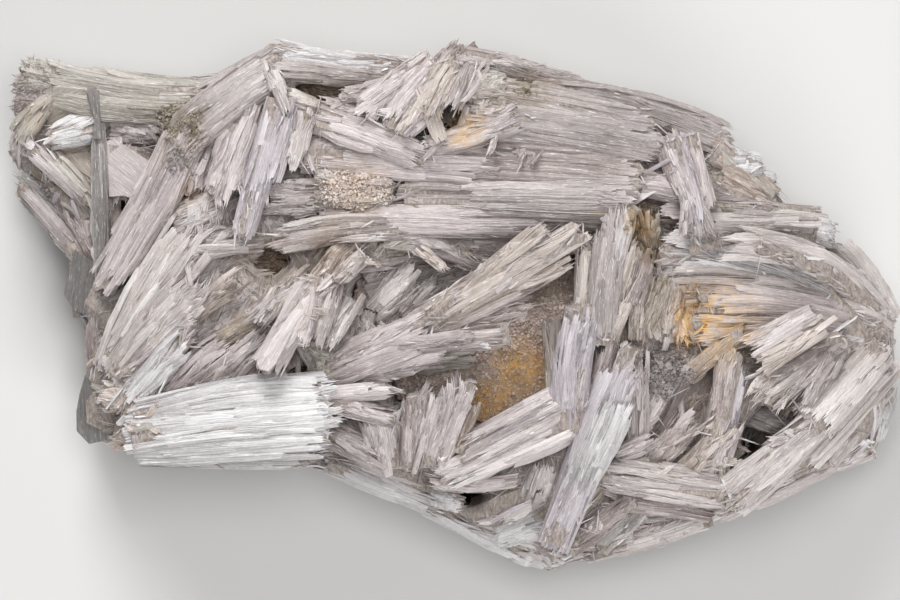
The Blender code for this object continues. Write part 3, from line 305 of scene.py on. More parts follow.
SHEAVES["columns"] = [
    ("column_tall", "slab", "lath", "band", (29.6, -9, 41), (32.2, 15, 46.8), 5.6, 4.6, 12),
    ("column_spike", "blade", "blade", "white", (31.6, 3, 44.6), (35.3, 17.8, 48), 3, 1.8, 6),
    ("column_right", "lath", "splinter", "warm", (31.6, -8, 41), (36.6, 10, 45.6), 3.4, 3.4, 10),
    ("column_left", "lath", "lath", "warm", (26, -8, 40), (27.6, 10.4, 44.6), 3.8, 3, 10),
    ("lilac_shoulder", "slab", "lath", "lilac", (23.6, -26, 38), (26.4, -1.4, 43.4), 6.6, 5.6, 12, 0.8),
    ("crack_column", "lath", "lath", "mauve", (27.6, -26, 37), (31.6, -8, 40.4), 3, 3, 9),
    ("white_column", "slab", "silk", "lilac", (20.6, -49, 30.6), (34.8, -13.2, 41.8), 6, 6.4, 12),
    ("white_column_right", "slab", "silk", "white", (24.4, -40, 34), (33.4, -20, 41.4), 5.8, 5.6, 10),
    ("grey_column", "lath", "splinter", "band", (37.2, -30, 35.4), (37.2, -12, 39.8), 3.6, 3, 8),
    ("silk_sweep", "slab", "silk", "silk", (27, -17.6, 39), (2, -31, 37.2), 6.6, 4.8, 9),
    ("silk_sweep_low", "slab", "silk", "silk", (25.6, -23.4, 38), (-2, -35.2, 35.2), 6.6, 4.8, 9),
    ("ledge_strand", "lath", "splinter", "silk", (13, -36, 34), (-4, -36.4, 34.6), 2.2, 2, 5, 0.8),
]
SHEAVES["hand"] = [
    ("hand_wrist", "slab", "feather", "silk", (-27, -15.6, 34), (-5, -6.2, 39.6), 6.6, 6.6, 7),
    ("hand_first", "lath", "feather", "warm", (-8, -5, 38.4), (14, 10, 45.4), 3, 2, 4),
    ("hand_second", "lath", "feather", "warm", (-5, -4.2, 39.4), (18.6, 14, 47.4), 3.2, 1.8, 4),
    ("hand_broad", "slab", "feather", "warm", (-3, -3.6, 40), (25.4, 13.6, 47), 3.8, 3.4, 4.5),
    ("hand_fourth", "lath", "feather", "warm", (-5, -6.2, 39), (24.8, 8.4, 45.4), 3, 2, 4),
    ("hand_fifth", "lath", "feather", "mauve", (-5, -7, 38.4), (19, 4.4, 43.8), 3, 2.2, 4),
    ("hand_curled", "lath", "lath", "mauve", (-8, -8, 37.4), (15, -1.6, 41.8), 3.2, 2.6, 4.5, 0.6),
    ("hand_grey", "plate", "lath", "mauve", (-9, -9.2, 38), (11.2, -6.6, 41), 3.4, 3.6, 4.5),
    ("hand_bright", "lath", "feather", "silk", (-13, -9.6, 38.4), (4.2, -7.4, 43.6), 2.5, 2.4, 4),
    ("hand_low", "lath", "feather", "silk", (-17, -15, 35.4), (-1, -10.6, 40.8), 3.8, 2.8, 5),
    ("hand_cuff", "lath", "splinter", "silk", (-24, -14, 33.4), (-11, -16.4, 35.8), 4.6, 3.8, 6),
]
SHEAVES["rods"] = [
    ("thick_rod", "knob", "silk", "silk", (-25.4, 3.6, 39), (-37.2, -13.8, 42.6), 4.4, 5.4, 7),
    ("bright_lump", "knob", "splinter", "band", (-29, 4.6, 36.4), (-38.4, -4.4, 38.6), 4.8, 3.8, 7),
    ("rod_second", "lath", "lath", "silk", (-26.4, 4, 39.4), (-29.2, -9, 41.6), 2.6, 2.4, 6),
    ("rod_third", "lath", "lath", "band", (-22.8, 2.6, 38.4), (-26.2, -8.6, 40.6), 2.8, 2.4, 6),
    ("rod_fourth", "lath", "lath", "pearl", (-19, 0, 36.4), (-24.4, -9, 38.6), 2.8, 2.8, 6),
    ("rod_pale", "lath", "lath", "pearl", (-16.8, 9, 39.6), (-22.6, 4, 41.6), 2.7, 2.4, 11),
    ("rod_back", "lath", "splinter", "warm", (-19.8, 12, 35.4), (-27.2, 3, 37.4), 3.4, 3.4, 6),
    ("twig_bent", "blade", "splinter", "warm", (-5.4, 9.6, 36.6), (-0.6, 5.8, 37.8), 1.8, 1.4, 4),
    ("twig_low", "blade", "blade", "band", (-14.4, -5.2, 37.4), (-9.8, -8.6, 38.6), 1.7, 1.4, 5),
    # A brown mat standing as painted shade in the cavity, over its real rust stain.
    ("cavity_mat", "plate", "mat", "brown", (-40.5, 8.2, 26), (-32, 8, 26.6), 4.8, 4.6, 4),
    ("mat_left", "block", "mat", "cream", (-30.6, -4, 33.4), (-23, -14, 34.6), 6.6, 6.6, 6),
    ("mat_right", "slab", "mat", "pearl", (-18.4, -2, 32.4), (-22, -14, 34.4), 7, 7, 6),
]
SHEAVES["hollow_mats"] = [
    ("hollow_mat", "plate", "mat", "pearl", (-16, 2.6, 28.6), (2, 8.2, 27.6), 9, 7, 4),
    ("hollow_mat_low", "plate", "mat", "pearl", (-17, -5.6, 29.6), (2.4, 2.4, 27.6), 9, 8, 4),
    ("hollow_mat_top", "plate", "splinter", "silk", (-17.6, 8, 30.8), (-3, 9.6, 29.6), 5, 4, 4),
    ("hollow_fan", "plate", "splinter", "pearl", (-14.6, -2.4, 31), (-6, 6, 31.4), 4.6, 6, 4),
    ("hollow_fan_right", "plate", "splinter", "pearl", (-9, -3, 31.6), (-1.6, 3.6, 31.4), 3.6, 4.4, 4),
    ("hollow_under", "plate", "splinter", "cream", (-8, -11.6, 29.6), (5, -10.4, 28.6), 6, 5, 4),
    ("hollow_edge", "lath", "splinter", "warm", (21.6, -22, 32.6), (20.4, -3, 33.6), 3.6, 3.2, 5),
    ("hollow_corner", "plate", "mat", "cream", (-16, 9.6, 31.6), (-8, 11.4, 31.2), 4, 4, 4),
    # Rust brown: partly the real stain of this gap, partly its painted shade.
    ("rust_mat", "plate", "mat", "brown", (37.2, 8.6, 32.6), (38.6, 17.8, 33.6), 5, 6, 4),
    ("rust_tuft", "plate", "splinter", "cream", (40.6, 9, 33.6), (39.6, 17, 34.8), 3, 4, 4),
    ("column_teeth", "lath", "broken", "tan", (33.4, 8, 45.2), (34.4, 16, 47.2), 3.4, 3.2, 4),
    ("column_teeth_right", "lath", "lath", "mauve", (36, 0, 43.6), (39, 10, 44.6), 4, 3, 4),
    ("stain_mat", "plate", "mat", "silk", (46.6, -0.6, 36.2), (48.2, -8.6, 36.8), 5.4, 5.4, 4),
    ("tuft_left", "lath", "splinter", "tan", (38.4, -5, 38.6), (41.6, 4.6, 40.2), 5, 4.6, 4),
    ("tuft_right", "lath", "splinter", "warm", (43, -5.6, 37.4), (44.8, 2.6, 38.8), 4.6, 4, 4),
]
SHEAVES["standing"] = [
    ("stand_lilac", "block", "silk", "silk", (-12, -33.6, 33), (-14, -24, 36.8), 6.4, 7.6, 12),
    ("stand_first", "lath", "feather", "mauve", (-8, -33.6, 34), (-7, -20, 38.8), 3.8, 3.8, 12),
    ("stand_second", "lath", "feather", "silk", (-6.4, -33, 35), (-3, -19, 39.8), 3.8, 3.2, 7),
    ("stand_third", "lath", "feather", "silk", (-4.2, -32.8, 35.4), (0.4, -18.6, 39.8), 4.6, 3.8, 12),
    ("stand_leaning", "lath", "feather", "silk", (-2, -32, 36.4), (4.2, -16.6, 40.8), 3.2, 2.4, 11),
    ("stand_last", "blade", "blade", "brown", (0.6, -31, 36.4), (4.8, -21, 38.8), 2, 1.6, 5),
    ("strand_upper", "lath", "lath", "silk", (-27, -19, 36.6), (-11, -17.8, 39.6), 2.6, 2.2, 5),
    ("strand_lower", "lath", "lath", "silk", (-23.4, -20.6, 36.4), (-11.2, -24, 39.8), 2.6, 2.4, 5),
    ("pink_lump", "knob", "splinter", "band", (-24, -26.4, 33.4), (-14.6, -31.4, 33.8), 4.8, 4.6, 8),
]
SHEAVES["foot"] = [
    ("glass_plate", "glass", "silk", "pearl", (18.6, -37.6, 31.4), (9, -42.6, 27.4), 5.4, 5, 8),
    ("glass_plate_low", "glass", "silk", "white", (18, -44, 28.4), (8, -47.4, 23.6), 7, 5.4, 9),
    ("glass_fibres", "lath", "silk", "band", (16.6, -40, 31.4), (19, -32.6, 34.8), 5.6, 3.8, 7),
    ("foot_ledge", "knob", "lath", "white", (-2.6, -39.6, 29.4), (1.6, -41, 29.2), 3, 2.4, 8),
    ("rim_left", "lath", "silk", "white", (-24, -32.6, 20.4), (-2, -41.2, 21), 4.4, 4.8, 9),
    ("rim_middle", "lath", "silk", "white", (-4, -41.2, 20.4), (15, -50.6, 17.8), 4.6, 4.6, 8),
    ("rim_foot", "knob", "silk", "white", (14, -50, 17.4), (21.4, -53, 16.8), 4.6, 3, 8),
]

# ---------------------------------------------------------------------------------------------
# Broad cleavage faces that lie on the solids. Each row: name, finish, height over the solid,
# thickness, direction of the cleavage in degrees, corners.
# ---------------------------------------------------------------------------------------------
PLATES = [
    ("beige_face", "beige", 0.5, 1.6, 28,
        [(-79.6, 43), (-73.2, 42.4), (-72.6, 38.4), (-81.4, 34), (-80.6, 39)]),
    # A brown wedge that is a painted shadow under the white silk above it.
    ("wedge_face", "brown", 0.2, 1.2, 8, [(-79.4, 31), (-71.8, 32.6), (-71.7, 30.2), (-77.6, 29.3)]),
    ("buff_face", "tan", 0.4, 1.2, -50, [(-78.2, 29.2), (-71.7, 30.2), (-71.8, 24), (-74.2, 25.6)]),
    ("broad_face", "silk", 1.3, 1.6, -40,
        [(-69.4, 31.9), (-67.4, 32.3), (-58.8, 26.9), (-60.6, 23.6), (-63.6, 20.2), (-65.6, 20.8),
         (-68.6, 20.6)]),
    ("grey_blade", "grey", 1.6, 1.4, 96,
        [(-72.9, 42.4), (-70.4, 42.2), (-70.1, 36.6), (-69.7, 32.2), (-71.7, 32.2), (-71.3, 36.2)]),
    ("grey_blade_right", "grey", 1.4, 1.2, 62,
        [(-70, 39.6), (-67.4, 39.4), (-67.2, 37.6), (-69.4, 33.2), (-71.2, 34)]),
    ("block_face", "white", 0.7, 1, 90, [(-52.6, 18.6), (-49.7, 18.8), (-49.5, 15.8), (-52.4, 15.6)]),
    ("long_face", "grey", 1.4, 1.6, 91,
        [(-71.5, 32.2), (-69.9, 32.2), (-69.1, 24), (-68.8, 14), (-69.5, 6), (-70.4, 1), (-71.1, 8),
         (-71.5, 18)]),
    ("long_edge", "cream", 1.2, 1, 92, [(-72.3, 27), (-71.6, 27), (-71.5, 17), (-71.2, 9), (-72.4, 14)]),
    ("glass_face", "glass", 0.5, 2.4, 78,
        [(-75.6, 10.3), (-72.7, 8.2), (-70.1, 6.8), (-69.9, 4.1), (-70.6, 1.3), (-72, -3.2), (-75.4, -2.4),
         (-77.9, 1.3), (-77.3, 3.4), (-76.3, 6.8)]),
    ("glass_rim", "lilac", 0.9, 1.2, 84,
        [(-76.2, 7), (-77, 3.6), (-77.8, 1.2), (-75.6, -2), (-74.6, 0.8), (-75.2, 5)]),
    ("glass_foot_rim", "lilac", 0.8, 1.2, 98,
        [(-74.2, -18.8), (-75, -22.6), (-75, -26.2), (-73.4, -27.6), (-73, -22)]),
    ("glass_foot", "glass", 0.5, 2.4, 94,
        [(-73.2, -14.9), (-72, -16.9), (-71.3, -19.3), (-68.4, -23.5), (-68.8, -28.2), (-72.7, -29),
         (-75.2, -26.4), (-75.2, -22.4), (-74.4, -18.6)]),
    ("tan_face", "beige", 0.7, 1.6, -38,
        [(54.4, 30), (58.4, 27), (65.4, 21.6), (64.4, 19.4), (58.8, 22.6), (54.8, 24.4)]),
    ("rod_face", "silk", 0.5, 1.6, 58,
        [(-38.4, -12.4), (-37.8, -13.8), (-36, -14.2), (-34.4, -12.6), (-27.6, 0.8), (-28.6, 4),
         (-31, 3.6)]),
    ("shade_face", "mauve", 0.5, 1.2, 66,
        [(46.6, -15), (52.6, -9.4), (53.6, -14), (50.4, -24), (45, -28.4), (41.6, -26)]),
    ("foot_dark", "grey", 0.6, 1.6, 48,
        [(28.4, -48.8), (31.4, -49.4), (38.2, -42.6), (36.8, -40.8), (32, -44.4)]),
]

# Patches of small angular grains on the solids, by finish. Each row: middle, two half sizes,
# lowest height, size of a grain, count, how far raised.
GRAIN_PATCHES = [
    ("grains_buff", [(-18.6, 22.0, 7.0, 3.9, 30.0, 0.36, 1600, 0.12)]),
    ("grains_grey", [
        (42.4, -14.6, 6.0, 5.2, 26.0, 0.55, 900, 0.3),
        (-54.4, 27.4, 2.2, 3.2, 24.0, 0.42, 220, 0.6),
        (-19.4, 21.8, 9.6, 5.0, 30.0, 0.36, 760, 0.0),
        (-62.0, 32.4, 2.6, 1.8, 16.0, 0.5, 160, 0.4),
        (-81.6, 23.4, 2.4, 3.0, 10.0, 0.6, 150, 0.3),
    ]),
    ("grains_olive", [
        (-54.0, 35.0, 5.2, 4.4, 18.0, 0.46, 800, 0.5),
        (38.0, 13.4, 3.4, 5.4, 16.0, 0.6, 420, 0.3),
        (15.0, 42.2, 4.0, 1.6, 26.0, 0.5, 200, 0.3),
        (48.0, 1.0, 3.0, 2.4, 24.0, 0.5, 180, 0.3),
    ]),
]

# Tufts of jagged splinters that stand out of the rough parts. Each row: middle, two half sizes,
# heading in degrees and its spread, length of the splinters, count, finish.
TUFTS = [
    (-50, -6, 11, 10, 48, 22, 6, 80, "silk"),
    (-54, 6, 8, 7, 55, 20, 6, 40, "silk"),
    (-42, 4, 8, 8, 40, 55, 4.5, 46, "warm"),
    (-28, -3, 9, 11, 60, 50, 4.5, 44, "warm"),
    (-9, 6, 10, 6, 25, 60, 4, 50, "warm"),
    (6, 9, 9, 4, 20, 30, 5, 26, "warm"),
    (8, 41, 8, 4, 200, 60, 4.5, 26, "warm"),
    (-28, 41, 5, 3, 190, 60, 4, 22, "mauve"),
    (-0.5, 36.5, 3, 3, -100, 40, 4, 12, "tan"),
    (20, 29.6, 14, 2.4, 60, 22, 3.6, 34, "silk"),
    (32, 12, 5, 5, 82, 10, 5.5, 26, "silk"),
    (41, -1, 5, 7, 84, 26, 5, 40, "warm"),
    (47, -30, 11, 6, 55, 40, 5, 50, "warm"),
    (36, -44, 13, 4, 40, 34, 5, 40, "silk"),
    (-42, 18, 10, 5, -82, 14, 5, 40, "silk"),
    (67, -17.6, 8, 4, -122, 14, 5, 30, "warm"),
    (-24.6, -24, 2.6, 7, 4, 10, 4, 24, "white"),
    (-3, -20, 8, 3, 74, 14, 5, 26, "silk"),
    (10, 6, 12, 8, 34, 14, 5, 30, "silk"),
    (-6, 40, 10, 6, -130, 22, 5, 30, "silk"),
    (-63, -24, 4, 5, 40, 30, 3.2, 14, "buff"),
]

# ---------------------------------------------------------------------------------------------
# How each style of sheaf splits into bundles, and each bundle into a ribbed sheet under fine
# strands: widths of a bundle and a strand, shortest and longest share of the sheaf, layers, turn
# in degrees, spread of heights, reach past the tip, curl of the tips, roll in degrees, form of the
# strands, the share of a bundle that they cover, and how deep its end is serrated.
# ---------------------------------------------------------------------------------------------
Style = namedtuple("Style", "wide fine short long layers turn spread reach curl roll form cover fray")
STYLES = {
    "silk": Style(1.15, 0.24, 0.26, 0.80, 1.8, 0.8, 0.07, 1.2, 0.10, 6.0, "needle", 0.45, 2.4),
    "feather": Style(1.05, 0.24, 0.24, 0.75, 1.9, 2.8, 0.13, 2.4, 0.45, 8.0, "needle", 0.75, 3.4),
    "broken": Style(1.00, 0.24, 0.26, 0.85, 2.0, 0.6, 0.08, 1.1, 0.05, 6.0, "needle", 0.50, 2.4),
    "lath": Style(1.15, 0.26, 0.22, 0.75, 1.8, 2.0, 0.13, 2.0, 0.40, 8.0, "needle", 0.70, 3.0),
    "splinter": Style(1.00, 0.28, 0.18, 0.60, 1.9, 6.0, 0.24, 2.0, 0.80, 12.0, "needle", 0.90, 3.0),
    "mat": Style(0.90, 0.28, 0.14, 0.40, 1.7, 26.0, 0.35, 1.0, 0.70, 20.0, "splinter", 0.80, 2.0),
    "blade": Style(1.00, 0.30, 0.40, 1.00, 2.0, 0.9, 0.10, 1.2, 0.20, 8.0, "lath", 0.40, 1.6),
    "fray": Style(1.10, 0.26, 0.30, 0.90, 2.2, 4.0, 0.22, 0.6, 0.30, 14.0, "needle", 0.80, 1.4),
}

# Fibres laid on the solids: their lengths and widths, how far the tips rise, and the share of them
# that are broad chips.
Fibres = namedtuple("Fibres", "shortest longest narrowest widest rise chips")
ON_FLANKS = Fibres(5.0, 13.0, 0.30, 0.60, 0.7, 0.42)
IN_GAPS = Fibres(2.5, 8.0, 0.28, 0.55, 0.8, 0.22)

# Sides of a strand's section, how flat it is, rings as (share of its length, size), and whether it
# ends in a point.
STRAND_FORMS = {
    "splinter": (3, 0.75, ((0.0, 0.78), (0.5, 1.0)), True),
    "needle": (3, 0.60, ((0.0, 0.7), (0.4, 1.0), (0.75, 0.62)), True),
    "lath": (4, 0.5, ((0.0, 0.85), (0.5, 1.0), (0.95, 0.92)), False),
}
SECTION_TURN = {3: 90.0, 4: 45.0}

# A bundle's own form, a thin sheet ribbed along the fibre: how many ridge and valley lines it has,
# and the shares of its length where its section is set.
SHEET_FORMS = {
    "sheet": (7, (0.0, 0.33, 0.72, 1.0)),
    "chip": (7, (0.0, 0.5, 1.0)),
}

# Deep gaps, with painted dark shade at the bottom, that stay free of loose fibres: x, y, radius.
DEEP_GAPS = [(60.4, -30.0, 3.4), (5.0, -39.6, 3.4), (-65.0, 18.2, 1.6), (-72.0, 7.6, 1.2)]

# Iron stain and dirt: x, y, radius, and how much of ochre, rust and olive.
STAINS = [
    (3.0, 33.5, 4.2, 0.75, 0.15, 0.0),
    (15.0, 42.0, 4.6, 0.15, 0.30, 0.60),
    (49.0, -3.5, 4.6, 1.00, 0.25, 0.0),
    (47.5, -8.0, 3.0, 0.85, 0.10, 0.0),
    (53.0, -4.4, 10.0, 0.50, 0.0, 0.0),
    (37.8, 15.6, 4.0, 0.60, 0.50, 0.10),
    (39.4, 10.6, 4.0, 0.20, 0.40, 0.50),
    (-52.0, 21.0, 3.4, 0.10, 0.60, 0.20),
    # These two lie in recesses: their rust is partly real stain, partly painted shade.
    (-35.6, 8.0, 5.6, 0.10, 0.45, 0.10),
    (-24.0, 10.8, 6.0, 0.10, 0.45, 0.05),
    (-83.0, 36.6, 4.0, 0.16, 0.05, 0.05),
    (-54.0, 35.6, 6.4, 0.05, 0.10, 0.35),
    (88.4, -4.8, 2.2, 0.0, 0.30, 0.20),
    (-19.0, 22.0, 8.0, 0.22, 0.12, 0.0),
    (48.0, 1.0, 4.2, 0.10, 0.55, 0.10),
    (-26.0, 41.6, 5.0, 0.05, 0.35, 0.20),
]

# Stains on the floor of the hollow, which leave the blades above this height clean.
HOLLOW_TOP = 31.0
HOLLOW_STAINS = [
    (14.6, -13.4, 6.6, 0.85, 0.10, 0.0),
    (7.8, -21.0, 5.6, 1.00, 0.10, 0.0),
    (4.6, -24.4, 2.4, 0.20, 0.20, 0.70),
]


def linear(code):
    """Turn an sRGB hex colour into linear RGBA."""
    found = []
    for place in (0, 2, 4):
        value = int(code[place : place + 2], 16) / 255.0
        found.append(value / 12.92 if value <= 0.04045 else ((value + 0.055) / 1.055) ** 2.4)
    return (*found, 1.0)


# Finishes of cleaved tremolite: what it is, then its shaded, middle and light colours.
FINISHES = {
    "silk": ("silky cleavage, pale lilac grey", "82777A", "BEB3B1", "E8E0DE"),
    "white": ("silky cleavage, near white", "949092", "CECACA", "F4F2F2"),
    "pearl": ("silky cleavage, pearly white", "8B8280", "C8BEBA", "F0EAE7"),
    "warm": ("silky cleavage, pale buff", "82736A", "BBAEA5", "E6DCD6"),
    "lilac": ("glassy cleavage, pale lilac", "7B7478", "B8AFB3", "E6E0E3"),
    "band": ("matted cleavage, lilac grey", "746A68", "A99F9C", "D6CDCA"),
    "beige": ("weathered cleavage, greenish beige", "767067", "ABA49B", "D6D0C8"),
    "buff": ("stained cleavage, pinkish buff", "87776C", "BFAFA5", "E4D9D2"),
    "tan": ("stained cleavage, tan", "75675A", "A89A8C", "D2C6BA"),
    "cream": ("frayed ends, cream", "8C847B", "C2BAB1", "E8E3DC"),
    "mauve": ("clear cleavage over shadow, brown lilac", "665A58", "9B8D89", "CFC4C1"),
    # The brown finish also serves as painted shade, in hollows and shadowed gaps.
    "brown": ("dirty cleavage and painted shade, brown", "4F4238", "85756A", "B9AB9F"),
    "grey": ("clear cleavage over shadow, grey", "56524F", "8C8784", "C4BFBC"),
    "glass": ("clear glassy crystal, smoke grey", "5E5A57", "8E8987", "CCC7C5"),
}
# Grains: what they are, then their dark, middle and light colours.
GRAINS = {
    "crust": ("sugary grains, pinkish buff, iron stained", "9C8880", "C8B4A9", "EADDD4"),
    "crust_bed": ("crust bed under the grains, dull buff, iron stained", "8A776E", "B4A297", "D8C9BF"),
    "grains_buff": ("sugary grains, pinkish buff", "A0928C", "D0C4BE", "F0E8E4"),
    "grains_grey": ("sugary grains, smoke grey", "4C4644", "827A77", "B4ABA8"),
    "grains_olive": ("sugary grains, olive brown", "5E5749", "91887A", "BBB2A4"),
}
OCHRE = "EBBC70"
RUST = "6B3F1F"
OLIVE = "5B5434"
# Painted shade: dark brown at the bottom of the deep gaps.
PAINTED_GAP_SHADE = "3A2E27"
# Painted shade: the grimy grey brown that places low among their neighbours are mixed towards.
SHADE_AND_DIRT = "6F6258"
# Painted glint: the near white of bright streaks along the fibre.
GLINT_WHITE = "FBF9F8"


# ---------------------------------------------------------------------------------------------
# Materials
# ---------------------------------------------------------------------------------------------
def set_inputs(tree, node, inputs):
    """Give a node's inputs values or links."""
    for name, value in inputs.items():
        if isinstance(value, bpy.types.NodeSocket):
            tree.links.new(value, node.inputs[name])
        else:
            node.inputs[name].default_value = value


def add_node(tree, kind, settings=None, inputs=None):
    """Add a node with its settings, and give its inputs values or links."""
    made = tree.nodes.new(kind)
    for name, value in (settings or {}).items():
        setattr(made, name, value)
    set_inputs(tree, made, inputs or {})
    return made


def add_maths(tree, operation, *values, clamp=False):
    """Add a Math node over values or sockets, and return its result."""
    inputs = dict(enumerate(values))
    made = add_node(tree, "ShaderNodeMath", {"operation": operation, "use_clamp": clamp}, inputs)
    return made.outputs[0]


def add_mix(tree, share, first, second):
    """Add a colour Mix node and return its result."""
    made = add_node(tree, "ShaderNodeMix", {"data_type": "RGBA"}, {0: share, 6: first, 7: second})
    return made.outputs[2]


def add_attribute(tree, name):
    """Read a vector attribute of the mesh, as a vector and as its three numbers."""
    made = add_node(tree, "ShaderNodeAttribute", {"attribute_name": name})
    parts = add_node(tree, "ShaderNodeSeparateXYZ", None, {0: made.outputs["Vector"]})
    return made.outputs["Vector"], parts.outputs


def add_place(tree):
    """The place on the object, in metres."""
    return add_node(tree, "ShaderNodeTexCoord").outputs["Object"]


def add_noise(tree, vector, scale, detail=2.0, roughness=0.55):
    """Add a noise texture, with the vector stretched by a scale for each axis or for all."""
    scale = scale if isinstance(scale, tuple) else (scale, scale, scale)
    placed = add_node(tree, "ShaderNodeMapping", None, {"Vector": vector, "Scale": scale})
    inputs = {"Vector": placed.outputs[0], "Scale": 1.0, "Detail": detail, "Roughness": roughness}
    return add_node(tree, "ShaderNodeTexNoise", None, inputs).outputs["Fac"]


def add_ramp(tree, tone, low, middle, high):
    """Colour a tone by three stops, each a place and a hex colour."""
    ramp = add_node(tree, "ShaderNodeValToRGB", None, {"Fac": tone})
    stops = ramp.color_ramp.elements
    stops[0].position, stops[0].color = low[0], linear(low[1])
    stops[1].position, stops[1].color = high[0], linear(high[1])
    stops.new(middle[0]).color = linear(middle[1])
    return ramp.outputs[0]


def add_bump(tree, height, strength, distance):
    """Turn a height into a normal."""
    inputs = {"Strength": strength, "Distance": distance, "Height": height}
    return add_node(tree, "ShaderNodeBump", None, inputs).outputs[0]


def new_material(name):
    """A material with only a Principled shader and its output."""
    made = bpy.data.materials.new(name)
    made.use_nodes = True
    tree = made.node_tree
    tree.nodes.clear()
    shader = add_node(tree, "ShaderNodeBsdfPrincipled")
    add_node(tree, "ShaderNodeOutputMaterial", None, {"Surface": shader.outputs[0]})
    return made, tree, shader


def add_stain(tree, colour, stain, place):
    """Lay ochre, rust and olive over a colour, broken up by specks of grime about 1.5 mm across."""
    grain = add_noise(tree, place, 620.0, 3.0, 0.65)
    patch = add_maths(tree, "MULTIPLY_ADD", grain, 3.2, -1.05, clamp=True)
    for part, code in enumerate((OCHRE, RUST, OLIVE)):
        share = add_maths(tree, "MULTIPLY", stain[part], patch, clamp=True)
        colour = add_mix(tree, share, colour, linear(code))
    return colour


def strand_material(finish):
    """Cleaved amphibole: fine streaks along each strand, pale worn tips, painted shade and a grimy brown low
    down, painted glints.
    """
    words, shaded, middle, light = FINISHES[finish]
    made, tree, shader = new_material("tremolite, " + words)
    look = bpy.context.scene.tremolite_look
    grain, _ = add_attribute(tree, "grain")
    _, (far, shade, deep) = add_attribute(tree, "growth")
    _, stain = add_attribute(tree, "stain")
    place = add_place(tree)
    # Cleavage steps are near 0.1 mm; they are drawn about 0.3 mm wide so that they show.
    streak = add_noise(tree, grain, (0.12, 4.2, 7.0), 3.0, 0.7)
    cross = add_noise(tree, grain, (1.3, 0.9, 3.0), 2.0, 0.6)
    cloud = add_noise(tree, place, 90.0, 2.0, 0.5)
    tone = add_maths(tree, "MULTIPLY_ADD", streak, 0.72, -0.44)
    tone = add_maths(tree, "MULTIPLY_ADD", shade, 0.62, tone)
    tone = add_maths(tree, "MULTIPLY_ADD", cross, 0.22, tone)
    tone = add_maths(tree, "MULTIPLY_ADD", add_maths(tree, "POWER", far, 5.0), 0.16, tone)
    # Painted shade: the lower a place lies among its neighbours, the darker its tone and the more grimy grey
    # brown it turns.
    tone = add_maths(tree, "MULTIPLY_ADD", deep, -0.30, tone)
    tone = add_maths(tree, "MULTIPLY_ADD", cloud, 0.28, tone, clamp=True)
    colour = add_ramp(tree, tone, (0.04, shaded), (0.40, middle), (0.80, light))
    shade_and_dirt = add_maths(tree, "MULTIPLY", deep, 0.42, clamp=True)
    colour = add_mix(tree, shade_and_dirt, colour, linear(SHADE_AND_DIRT))
    # Open cleavage: fine dark cracks, and painted glints, near-white highlights, that run with the fibre.
    crack = add_noise(tree, grain, (0.17, 3.2, 11.0), 2.0, 0.6)
    crack = add_maths(tree, "MULTIPLY_ADD", crack, -8.0, 3.15, clamp=True)
    crack = add_maths(tree, "MULTIPLY", crack, 0.62)
    colour = add_mix(tree, crack, colour, linear(shaded))
    painted_glint = add_noise(tree, grain, (0.48, 5.2, 8.0), 2.0, 0.6)
    painted_glint = add_maths(tree, "MULTIPLY_ADD", painted_glint, 8.0, -4.75, clamp=True)
    painted_glint = add_maths(tree, "MULTIPLY", painted_glint, 0.72)
    colour = add_mix(tree, painted_glint, colour, linear(GLINT_WHITE))
    fine = add_noise(tree, grain, (0.5, 6.0, 9.0), 2.0, 0.6)
    set_inputs(tree, shader, {
        "Base Color": add_stain(tree, colour, stain, place),
        "Roughness": add_maths(tree, "MULTIPLY_ADD", streak, -0.25, 0.46),
        "Normal": add_bump(tree, fine, look.streak_bump, 0.0002),
        "IOR": TREMOLITE_INDEX,
        "Transmission Weight": look.glass_clearness if finish == "glass" else 0.0,
    })
    return made


def add_spot(tree, place, x, y, radius, middle):
    """A share that falls with distance in the plan from a point, to nothing past the radius."""
    flat = add_node(tree, "ShaderNodeVectorMath", {"operation": "MULTIPLY"}, {0: place})
    flat.inputs[1].default_value = (1.0, 1.0, 0.0)
    away = add_node(tree, "ShaderNodeVectorMath", {"operation": "DISTANCE"}, {0: flat.outputs[0]})
    away.inputs[1].default_value = (x * MM, y * MM, 0.0)
    slope = -middle / (radius * MM)
    return add_maths(tree, "MULTIPLY_ADD", away.outputs["Value"], slope, middle, clamp=True)


def finish_dull(tree, shader, colour, normal, index):
    """Give a shader a rough, dull finish."""
    inputs = {"Base Color": colour, "Normal": normal, "Roughness": 0.7, "IOR": index}
    set_inputs(tree, shader, inputs)


def mass_material():
    """The massive amphibole under the sheaves: matted, dull, grey brown and darker than the sheaves as
    painted shade between them, painted dark in the deep gaps.
    """
    made, tree, shader = new_material("tremolite, massive and matted, grey brown in the gaps")
    place = add_place(tree)
    cloud = add_noise(tree, place, 120.0, 3.0, 0.6)
    felt = add_noise(tree, place, (1800.0, 700.0, 1500.0), 4.0, 0.7)
    tone = add_maths(tree, "MULTIPLY_ADD", felt, 1.5, -0.42)
    tone = add_maths(tree, "MULTIPLY_ADD", cloud, 0.35, tone, clamp=True)
    colour = add_ramp(tree, tone, (0.10, "665A52"), (0.50, "A2968E"), (0.90, "CFC4BD"))
    # Painted shade: dark brown at the bottom of each deep gap.
    for x, y, radius in DEEP_GAPS:
        share = add_spot(tree, place, x, y, radius, 1.6)
        colour = add_mix(tree, share, colour, linear(PAINTED_GAP_SHADE))
    finish_dull(tree, shader, colour, add_bump(tree, felt, 0.8, 0.0004), TREMOLITE_INDEX)
    return made


